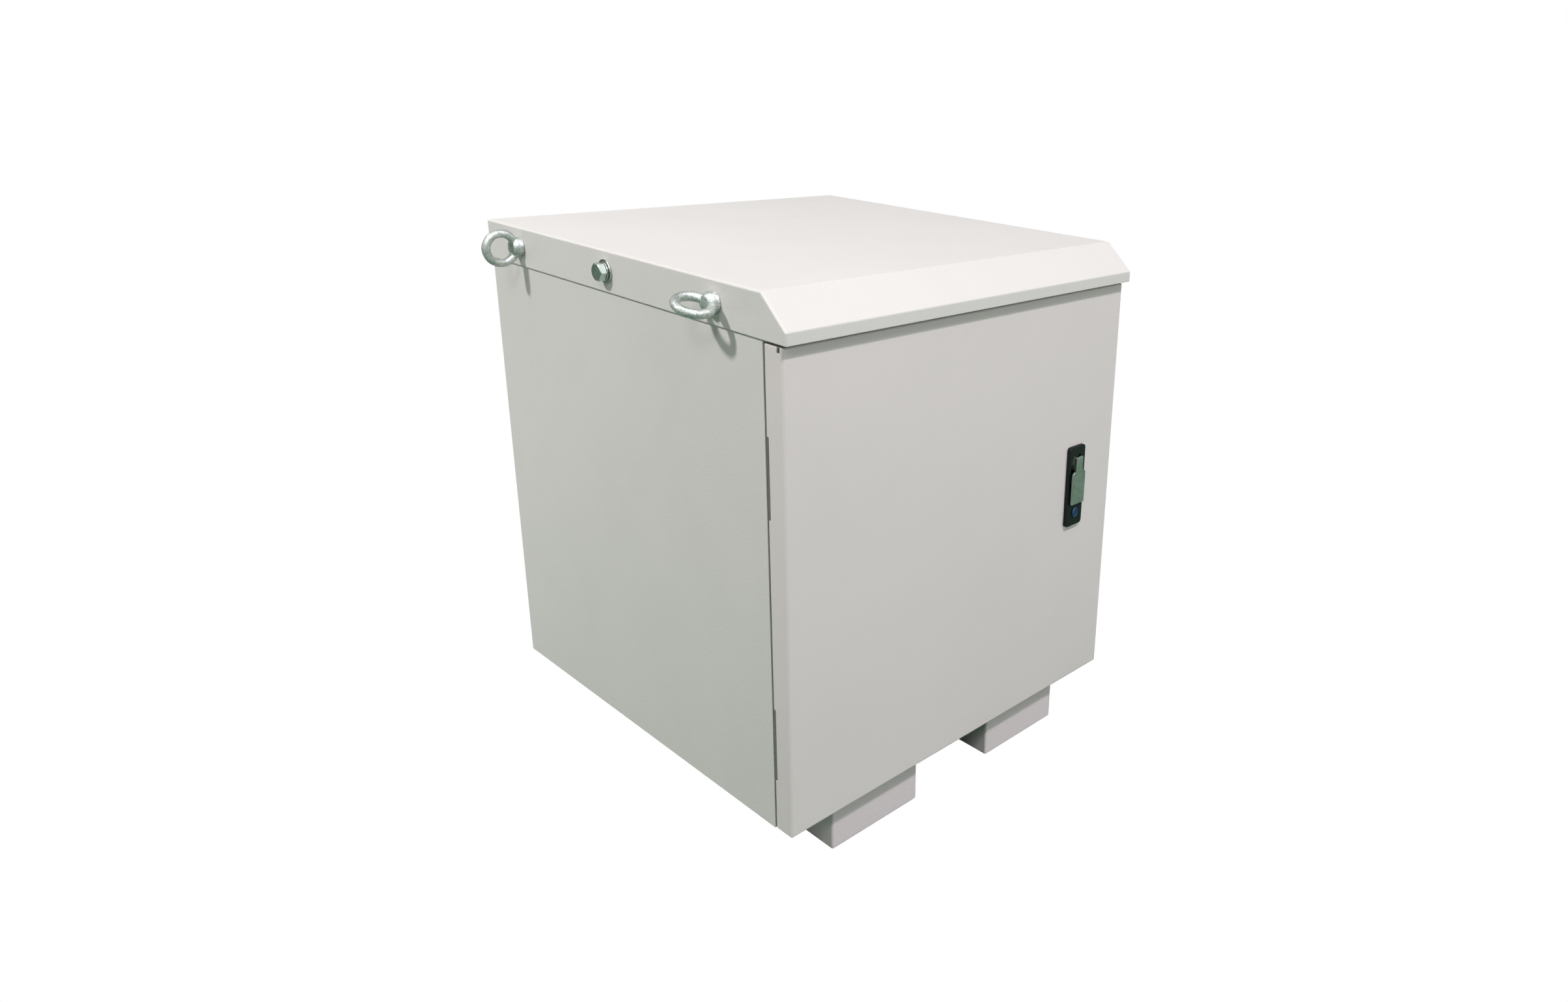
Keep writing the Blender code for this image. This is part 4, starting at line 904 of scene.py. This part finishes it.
def makePaddle():
    # Pull plate with round shoulders, a neck and two knuckles round the pin, joined into one piece
    values = paddleValues
    low, _, middle, size = measure("lock_paddle")
    _, _, pin, pinSize = measure("paddle_pin")
    front, ear, neck = low[1], pin[1] - low[1], pinSize[0]
    halfWide, halfTall = size[0] / 2, values["tall"] / 2
    corners = [(-halfWide, -halfTall), (halfWide, -halfTall), (halfWide, halfTall), (-halfWide, halfTall)]
    foot, shoulder = values["foot"], values["shoulder"]
    outline = roundPolygon(corners, (foot, foot, shoulder, shoulder), 7)
    rows = edgeRows(-values["thick"], 0, values["edge"])
    plate = slab("paddlePlate", outline, rows, "front", (middle[0], front, low[2] + halfTall))
    plateTop = low[2] + values["tall"]
    bars = roundBox(neck, pin[2] - plateTop + 0.008, 0.0006, 3)
    stemPlace = (middle[0], front, (pin[2] + plateTop - 0.0076) / 2 - 0.0001)
    parts = [slab("neck", bars, edgeRows(-2 * ear, 0, 0.0008), "front", stemPlace)]
    for sign in (-1, 1):
        near, far = sorted((sign * values["tongue"] / 2, sign * neck / 2))
        knuckle = rod(ear, near, far, 0.0005, 0.0005)
        parts.append(lathe("knuckle", knuckle, "right", tuple(pin), 40))
        webLow = (pin[0] + near, pin[1] - ear + 0.00002, pin[2] - 0.008)
        webHigh = (pin[0] + far, pin[1] + ear - 0.00002, pin[2])
        parts.append(block("web", webLow, webHigh, 0.0004, "right"))
    carve(plate, parts, "UNION")
    carve(plate, [hole(tuple(pin), values["bore"], "right", -2 * past, 2 * past)])
    dress(plate, "paddleSteel", "paddle", ["lock_paddle"])
    profile = rod(values["pin"], -neck / 2, neck / 2, 0.0003, 0.0003)
    dress(lathe("paddlePin", profile, "right", tuple(pin), 24), "chrome", "spindle", ["paddle_pin"])


keyValues = {
    "edge": 0.0009,
    "bore": 0.0043,
    "flare": 0.0005,
    "slotHalf": 0.0009,
    "slotTall": 0.003,
    "slotDepth": 0.0045,
}


def makeKeyCap():
    # Oval ((w / 2 - i) cos t, (h / 2 - i) sin t) at inset i, stacked into a cap with a domed edge, and a
    # plug turned round the same axis whose face carries the key slot
    values = keyValues
    low, high, middle, size = measure("key_cap")
    turn = np.linspace(0, 2 * math.pi, 64, endpoint=False)
    oval = np.stack([np.cos(turn), np.sin(turn)], 1)

    def outline(inset):
        return oval * (np.array([size[0], size[2]]) / 2 - inset)

    base = (middle[0], high[1], middle[2])
    cap = slab("keyCap", outline, edgeRows(0, size[1], values["edge"], 4, 0.0002), "front", base)
    bore, wide = values["bore"], values["bore"] + values["flare"]
    flare = [
        (nearAxis, -past), (bore, -past), (bore, size[1] - 0.0004), (wide, size[1] + 0.0001),
        (wide, past), (nearAxis, past),
    ]
    carve(cap, [lathe("cutter", flare, "front", base, 48)])
    dress(cap, "bluePlastic", "door", ["key_cap"])
    low, high = span("key_cylinder")
    length, radius = high[1] - low[1], (high[0] - low[0]) / 2
    plug = rod(radius, -length, 0, 0.0004, 0.0005)
    cylinder = lathe("keyPlug", plug, "front", (middle[0], low[1], middle[2]), 48)
    half, tall = values["slotHalf"], values["slotTall"]
    slotLow = (middle[0] - half, low[1] - past, middle[2] - tall)
    slotHigh = (middle[0] + half, low[1] + values["slotDepth"], middle[2] + tall)
    carve(cylinder, [block("cutter", slotLow, slotHigh, 0.0002, "front")])
    dress(cylinder, "bluePlastic", "key", ["key_cylinder"])


sealValues = {"corner": 0.006, "width": 0.012, "foot": 0.0010, "bowStart": 0.0012, "bowInset": 0.0004}


def makeDoorSeal():
    # D section run round the door's inner face: rows of (inset, depth), the bow being half an ellipse
    values = sealValues
    low, _, middle, size = measure("door_seal")
    outline = roundBox(size[0], size[2], values["corner"], 6)
    half, width = values["width"] / 2, values["width"]
    turn = np.linspace(0, math.pi, 15)
    inset = half - np.cos(turn) * (half - values["bowInset"])
    rise = values["bowStart"] + np.sin(turn) * (size[1] - values["bowStart"])
    before, after = [(0, 0), (0, values["foot"])], [(width, values["foot"]), (width, 0)]
    section = np.concatenate([before, np.stack([inset, rise], 1), after])
    section[:, 1] *= -1
    grid = turnTo(stack(outline, section), "front", (middle[0], low[1], middle[2]))
    seal = gridObject("doorSeal", grid, closeRows=True)
    dress(seal, "rubberBlack", "door", ["door_seal"])


makeRoof()
makePanels()
makeDoor()
makeSkids()
print("cabinet made")
for number, (side, place) in enumerate((s, p) for s in ("left", "right") for p in ("front", "rear")):
    makeEye(side, place, 1.3 + number)
makeSideBolts()
print("lifting eyes and side bolts made")
makeLockCase()
makePaddle()
makeKeyCap()
makeDoorSeal()
print("lock and seal made")


windingValues = {
    "end": 0.006,
    "pitch": 0.0030,
    "relief": 0.00045,
    "corner": 0.0118,
    "limbWidth": 0.042,
    "limbDepth": 0.062,
}


def makeCoils():
    # Rounded block whose inset follows relief times (1 - |sin(pi z / pitch)|), so that turns stand out
    values = windingValues
    end, pitch = values["end"], values["pitch"]
    limb = roundBox(values["limbWidth"], values["limbDepth"], 0.0006, 2)
    for number in (1, 2, 3):
        low, _, middle, size = measure(f"coil_{number}")
        place = (middle[0], middle[1], low[2])
        outline = roundBox(size[0], size[1], values["corner"], 6)
        rows = edgeRows(0, end, 0.0012, 3, 0.0012)
        for step in range(int((size[2] - 2 * end) / pitch) * 4 + 1):
            share = step / 4
            inset = 0.0004 + values["relief"] * (1 - abs(math.sin(math.pi * share)))
            rows.append((inset, end + share * pitch))
        rows += edgeRows(size[2] - end, size[2], 0.0012, 3, 0.0012)
        coil = slab(f"coil{number}", outline, rows, "up", place)
        cutter = slab("cutter", limb, [(0, -past), (0, size[2] + past)], "up", place)
        dress(carve(coil, [cutter]), "coilResin", "cabinet", [f"coil_{number}"])


coreValues = {"limb": 0.040, "window": 0.050}


def makeCore():
    # Stacked steel: a rounded block with two windows cut through from front to back
    limb, window = coreValues["limb"], coreValues["window"]
    low, high, middle, _ = measure("transformer_core")
    core = block("core", low, high, 0.0007, "front", 0.0007, 2)
    cutters = []
    for sign in (-1, 1):
        x = middle[0] + sign * (limb + window) / 2
        windowLow = (x - window / 2, low[1] - past, low[2] + limb)
        windowHigh = (x + window / 2, high[1] + past, high[2] - limb)
        cutters.append(block("cutter", windowLow, windowHigh, 0.0004, "front", 0.0008, 2))
    dress(carve(core, cutters), "coreSteel", "cabinet", ["transformer_core"])


breakerValues = {
    "edge": 0.0009,
    "shoulder": 0.046,
    "nose": 0.0425,
    "poles": 3,
    "screw": 0.0042,
    "toggle": 0.0063,
    "toggleHalf": 0.0096,
}


def makeBreaker():
    # Stepped case of three poles, with a slit between poles and a screw's well on each shoulder
    values = breakerValues
    edge, half = values["edge"], values["nose"] / 2
    low, high, middle, _ = measure("breaker")
    shoulderY = high[1] - values["shoulder"]
    case = block("breakerCase", (low[0], shoulderY, low[2]), high, edge, "front", edge)
    noseLow = (low[0] + 0.00005, low[1], middle[2] - half)
    noseHigh = (high[0] - 0.00005, high[1] - 0.004, middle[2] + half)
    carve(case, [block("nose", noseLow, noseHigh, edge, "front", edge)], "UNION")
    pitch = (high[0] - low[0]) / values["poles"]
    cutters, screws = [], []
    for pole in range(values["poles"]):
        x = low[0] + (pole + 0.5) * pitch
        for sign in (-1, 1):
            z = middle[2] + sign * (half + (high[2] - middle[2] - half) / 2)
            cutters.append(hole((x, shoulderY, z), values["screw"], "front", -0.006, 0.004, 28))
            screws.append((x, shoulderY + 0.0058, z))
            end = high[2] if sign > 0 else low[2]
            near, far = sorted((end, end - sign * 0.006))
            slotLow = (x - 0.005, shoulderY + 0.012, near - 0.0005)
            slotHigh = (x + 0.005, shoulderY + 0.024, far + 0.0005)
            cutters.append(block("cutter", slotLow, slotHigh, 0.0002, "up", 0.001, 2))
    for seam in range(1, values["poles"]):
        x = low[0] + seam * pitch
        for sign in (-1, 1):
            end = middle[2] + sign * values["nose"] / 2
            near, far = sorted((end, end - sign * 0.008))
            seamLow = (x - 0.0005, low[1] - 0.001, near)
            seamHigh = (x + 0.0005, low[1] + 0.0008, far + 0.001)
            cutters.append(block("cutter", seamLow, seamHigh, 0.0001, "front", 0.0002, 1))
    bed = values["toggleHalf"]
    cutters.append(hole((middle[0], low[1], middle[2]), values["toggle"], "right", -bed, bed, 48))
    for cutter in cutters:
        carve(case, [cutter])
    dress(case, "deviceGrey", "cabinet", ["breaker"])
    heads = [makeScrew(place, values["screw"] - 0.0005, 0.0034) for place in screws]
    dress(join("breakerScrews", heads), "zinc", "cabinet")


def makeScrew(place, radius, tall):
    # Cheese-head screw facing forwards, with a slot across a third of its head's height
    head = lathe("screw", rod(radius, 0, tall, high=0.0004), "front", place, 28)
    (x, y, z), half = place, 0.0005
    slotLow = (x - past, y - tall - 0.001, z - half)
    slotHigh = (x + past, y - tall * 0.62, z + half)
    return carve(head, [block("cutter", slotLow, slotHigh, 0.0001, "front", 0.0001, 1)])


terminalValues = {
    "count": 8,
    "wall": 0.0056,
    "sill": 0.009,
    "pocket": 0.0135,
    "screw": 0.0052,
    "apart": 0.006,
}


def makeTerminals():
    # Block with one pocket per pole, and two slotted screws standing on the floor of each pocket
    values = terminalValues
    low, high, middle, _ = measure("terminal_block")
    base = block("terminalBlock", low, high, 0.0008, "front", 0.0012)
    pitch = (high[0] - low[0]) / values["count"]
    half, sill = (pitch - values["wall"]) / 2, values["sill"]
    bed = low[1] + values["pocket"]
    screws = []
    for pole in range(values["count"]):
        x = low[0] + (pole + 0.5) * pitch
        pocketLow = (x - half, low[1] - past, low[2] + sill)
        pocketHigh = (x + half, bed, high[2] - sill)
        carve(base, [block("cutter", pocketLow, pocketHigh, 0.0004, "front", 0.0012, 2)])
        for shift in (values["apart"], -values["apart"]):
            screws.append(makeScrew((x, bed - 0.0002, middle[2] + shift), values["screw"], 0.004))
    dress(base, "blackCoat", "cabinet", ["terminal_block"])
    dress(join("terminalScrews", screws), "brassMetal", "cabinet")


controlValues = {
    "edge": 0.003,
    "seam": 0.0012,
    "seamInset": 0.007,
    "slits": 9,
    "slitPitch": 0.012,
    "slitHalf": 0.002,
    "lamp": 0.0028,
    "lampPitch": 0.016,
    "lampDrop": 0.024,
    "lamps": {"powerLens": "lensGreen", "loadLens": "lensAmber", "faultLens": "lensRed"},
}


def makeControlUnit():
    # Rounded case with a seam round its cover, a row of slits below and three small lenses above
    values = controlValues
    low, high, middle, size = measure("control_unit")
    case = block("controlUnit", low, high, values["edge"], "front", values["edge"], 4)
    inset = 2 * values["seamInset"]
    outer = roundBox(size[0] - inset, size[2] - inset, 0.004, 5)
    seam = values["seam"]
    rows = [(seam, -0.001), (0, -0.001), (0, 0.001), (seam, 0.001)]
    grid = turnTo(stack(outer, rows), "front", (middle[0], low[1], middle[2]))
    cutters = [gridObject("cutter", grid, closeRows=True)]
    for slit in range(values["slits"]):
        x = middle[0] + (slit - (values["slits"] - 1) / 2) * values["slitPitch"]
        slitLow = (x - values["slitHalf"], low[1] - past, low[2] + 0.018)
        slitHigh = (x + values["slitHalf"], low[1] + 0.003, low[2] + 0.058)
        cutters.append(block("cutter", slitLow, slitHigh, 0.0002, "front", 0.0019, 4))
    for cutter in cutters:
        carve(case, [cutter])
    dress(case, "deviceGrey", "cabinet", ["control_unit"])
    lamp = values["lamp"]
    turn = np.linspace(0, math.pi / 2, 7)
    dome = [(nearAxis, -0.0018), (lamp, -0.0018)]
    dome += [(lamp * math.cos(a) + nearAxis, -0.0012 + 0.0012 * math.sin(a)) for a in turn]
    for shift, (name, finish) in enumerate(values["lamps"].items(), -1):
        place = (middle[0] + shift * values["lampPitch"], low[1], high[2] - values["lampDrop"])
        carve(case, [hole(place, lamp + 0.0002, "front", -0.002, 0.001, 24)])
        dress(lathe(name, dome, "front", place, 24), finish, "cabinet")


canValues = {"rim": 0.0015, "bead": 0.0012, "post": 0.012, "postTall": 0.016}


def makeCapacitors():
    # Drawn can with a rounded foot, a rolled rim, a sunk lid and an insulated post between two rings
    rim, bead, post, tall = (canValues[name] for name in ("rim", "bead", "post", "postTall"))
    for number in (1, 2):
        low, high = span(f"capacitor_{number}")
        radius = (high[0] - low[0]) / 2
        top = high[2] - low[2] - tall
        seat = ((low[0] + high[0]) / 2, (low[1] + high[1]) / 2, low[2])
        profile = [
            (nearAxis, 0.0012), (radius - 0.006, 0.0012), (radius - 0.0045, 0), (radius - 0.002, 0),
            (radius, 0.002), (radius, top - 0.0075), (radius - bead, top - 0.0065),
            (radius - bead, top - 0.0045), (radius, top - 0.0035), (radius - 0.0001, top + rim * 0.5),
            (radius - rim, top + rim), (radius - 1.9 * rim, top + rim * 0.4),
            (radius - 2.2 * rim, top - 0.0015), (nearAxis, top - 0.0015),
        ]
        can = lathe(f"capacitor{number}", roundProfile(profile, 0.0006, 2), "up", seat, 72)
        dress(can, "canMetal", "cabinet", [f"capacitor_{number}"])
        cap = [
            (nearAxis, top - 0.0016), (post + 0.003, top - 0.0016), (post + 0.003, top + 0.0004),
            (post, top + 0.0012), (post, top + tall * 0.45), (post - bead, top + tall * 0.5),
            (post - bead, top + tall * 0.6), (post, top + tall * 0.65), (post, top + tall - 0.001),
            (post - 0.001, top + tall), (nearAxis, top + tall),
        ]
        dress(lathe(f"capacitorPost{number}", cap, "up", seat, 48), "blackCoat", "cabinet")


clampValues = {"thick": 0.003, "heel": 0.020, "edge": 0.0003}


def makeClamps():
    # Angle section with a rounded bend, swept along X
    thick, edge = clampValues["thick"], clampValues["edge"]
    for level, rise in (("lower", 1), ("upper", -1)):
        for side, sign in (("front", -1), ("rear", 1)):
            name = f"{level}_{side}_clamp"
            low, high = span(name)
            yNear, yFar = (high[1], low[1]) if sign < 0 else (low[1], high[1])
            base, tip = (low[2], high[2]) if rise > 0 else (high[2], low[2])
            heel, upper = yNear + sign * clampValues["heel"], base + rise * thick
            corners = [
                (yNear, base), (yFar, base), (yFar, upper), (heel + sign * thick, upper),
                (heel + sign * thick, tip), (heel, tip), (heel, upper), (yNear, upper),
            ]
            if sign * rise < 0:
                corners = corners[::-1]
            outline = roundPolygon(corners, 0.0005, 2)
            middle = (low[0] + high[0]) / 2
            start, end = low[0] - middle, high[0] - middle
            rows = [(edge, start), (0, start + edge), (0, end - edge), (edge, end)]
            piece = slab(f"{level}{side.capitalize()}Clamp", outline, rows, "right", (middle, 0, 0))
            dress(piece, "zinc", "cabinet", [name])


makeCoils()
makeCore()
makeBreaker()
makeTerminals()
makeControlUnit()
makeCapacitors()
makeClamps()
print("inside made")


stageValues = {
    "floorSize": 6.0,
    "floorDrop": 0.0008,
    "floorColour": (0.12, 0.19, 0.14),
    "skyColour": (0.84, 0.97, 0.88),
    "horizonColour": (0.17, 0.225, 0.19),
    "skyStrength": 0.29,
}


def showWhite(tree, kind, shader, output):
    # Camera rays see plain white, from a node of this kind, instead of the given shader
    white = addNode(tree, kind, {"Color": (1, 1, 1, 1), "Strength": 1.0})
    seen = addNode(tree, "LightPath").outputs["Is Camera Ray"]
    choose = addNode(tree, "MixShader", {0: seen, 1: shader, 2: white.outputs[0]})
    tree.links.new(choose.outputs[0], output)


def makeStage():
    # Floor sheet and sky, which give their own tint to the light and are white to the camera
    reach = stageValues["floorSize"] / 2
    steps = np.linspace(-reach, reach, 3)
    x, y = np.meshgrid(steps, steps)
    grid = np.stack([x, y, x * 0 - stageValues["floorDrop"]], -1)
    floor = meshObject("floor", grid.reshape(-1, 3), gridFaces(3, 3, closeColumns=False).tolist())
    material = bpy.data.materials.new("floorPaper")
    material.use_nodes = True
    tree = material.node_tree
    tree.nodes.remove(tree.nodes["Principled BSDF"])
    matt = addNode(tree, "BsdfDiffuse", {"Color": (*stageValues["floorColour"], 1)})
    showWhite(tree, "Emission", matt.outputs[0], tree.nodes["Material Output"].inputs["Surface"])
    floor.data.materials.append(material)
    floor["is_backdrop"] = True
    world = bpy.data.worlds.new("whiteRoom")
    bpy.context.scene.world = world
    world.use_nodes = True
    tree = world.node_tree
    sky = tree.nodes["Background"]
    upward = addNode(tree, "SeparateXYZ", {0: addNode(tree, "TexCoord").outputs["Generated"]}).outputs[2]
    share = spread(tree, upward, 0.02, 0.55)
    sight = blendColours(tree, share, stageValues["horizonColour"], stageValues["skyColour"])
    tree.links.new(sight, sky.inputs["Color"])
    sky.inputs["Strength"].default_value = stageValues["skyStrength"]
    showWhite(tree, "Background", sky.outputs[0], tree.nodes["World Output"].inputs["Surface"])


# Direction from the object, distance and size in metres, power in watts. Only a mirrored lamp shows in
# glossy surfaces
lightValues = {
    "leftKey": {
        "from": (-0.687, 0.15, 0.711), "away": 3.6, "power": 78.0, "size": 0.26, "mirrored": True,
        "colour": (1.0, 0.955, 0.96),
    },
    "leftFront": {
        "from": (-0.60, -0.50, 0.62), "away": 6.0, "power": 62.0, "size": 1.3, "mirrored": True,
        "colour": (1.0, 0.95, 0.96),
    },
    "frontSoft": {
        "from": (-0.06, -0.56, 0.826), "away": 6.0, "power": 238.0, "size": 0.4, "mirrored": True,
        "colour": (0.975, 0.93, 1.0),
    },
    "rightFill": {
        "from": (0.40, -0.915, 0.06), "away": 6.0, "power": 106.0, "size": 2.5, "mirrored": True,
        "colour": (0.96, 0.965, 0.95),
    },
    "rightSoft": {
        "from": (0.98, -0.02, 0.20), "away": 6.0, "power": 115.0, "size": 2.0, "mirrored": False,
        "colour": (1.0, 0.95, 0.97),
    },
    "rearSoft": {
        "from": (0.25, 0.84, 0.48), "away": 6.0, "power": 100.0, "size": 2.0, "mirrored": False,
        "colour": (0.98, 0.97, 0.98),
    },
    "rearLow": {
        "from": (-0.70, 0.70, -0.10), "away": 1.45, "power": 3.8, "size": 0.8, "mirrored": False,
        "colour": (1.0, 0.96, 0.96),
    },
}


def makeLights():
    # Round lamps aimed at the middle of the object, each from its own direction and distance
    target = (startBounds[0] + startBounds[1]) / 2
    for name, values in lightValues.items():
        data = bpy.data.lights.new(name, "AREA")
        data.shape = "DISK"
        data.size = values["size"]
        data.energy = values["power"]
        data.color = values["colour"]
        lamp = bpy.data.objects.new(name, data)
        lamp.visible_glossy = values["mirrored"]
        lamp.location = target + Vector(values["from"]).normalized() * values["away"]
        lamp.rotation_euler = (target - lamp.location).to_track_quat("-Z", "Y").to_euler()
        bpy.context.scene.collection.objects.link(lamp)


# Place in metres, turns in degrees, lens in millimetres and its shift as a share of the frame's width
cameraValues = {
    "place": (-0.9063, -1.1228, 0.8930),
    "turns": (72.07, -2.58, -49.00),
    "lens": 25.45,
    "shift": (-0.15, -0.05),
}


def makeCamera():
    data = bpy.data.cameras.new("viewer")
    data.sensor_width = 36.0
    data.lens = cameraValues["lens"]
    data.shift_x, data.shift_y = cameraValues["shift"]
    data.clip_start, data.clip_end = 0.02, 50.0
    viewer = bpy.data.objects.new("viewer", data)
    viewer.location = cameraValues["place"]
    viewer.rotation_euler = [math.radians(turn) for turn in cameraValues["turns"]]
    bpy.context.scene.collection.objects.link(viewer)
    bpy.context.scene.camera = viewer


makeStage()
makeLights()
makeCamera()
bpy.context.scene.view_settings.view_transform = "Standard"
print("stage, lights and camera made")


def writeSizes():
    # Boxes of the frame as loaded and of what is shown, in metres, turned into JSON text that is not kept
    for label, corners in (("frame", startBounds), ("shown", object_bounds())):
        json.dumps({label: [[round(v, 5) for v in corner] for corner in corners]})


writeSizes()
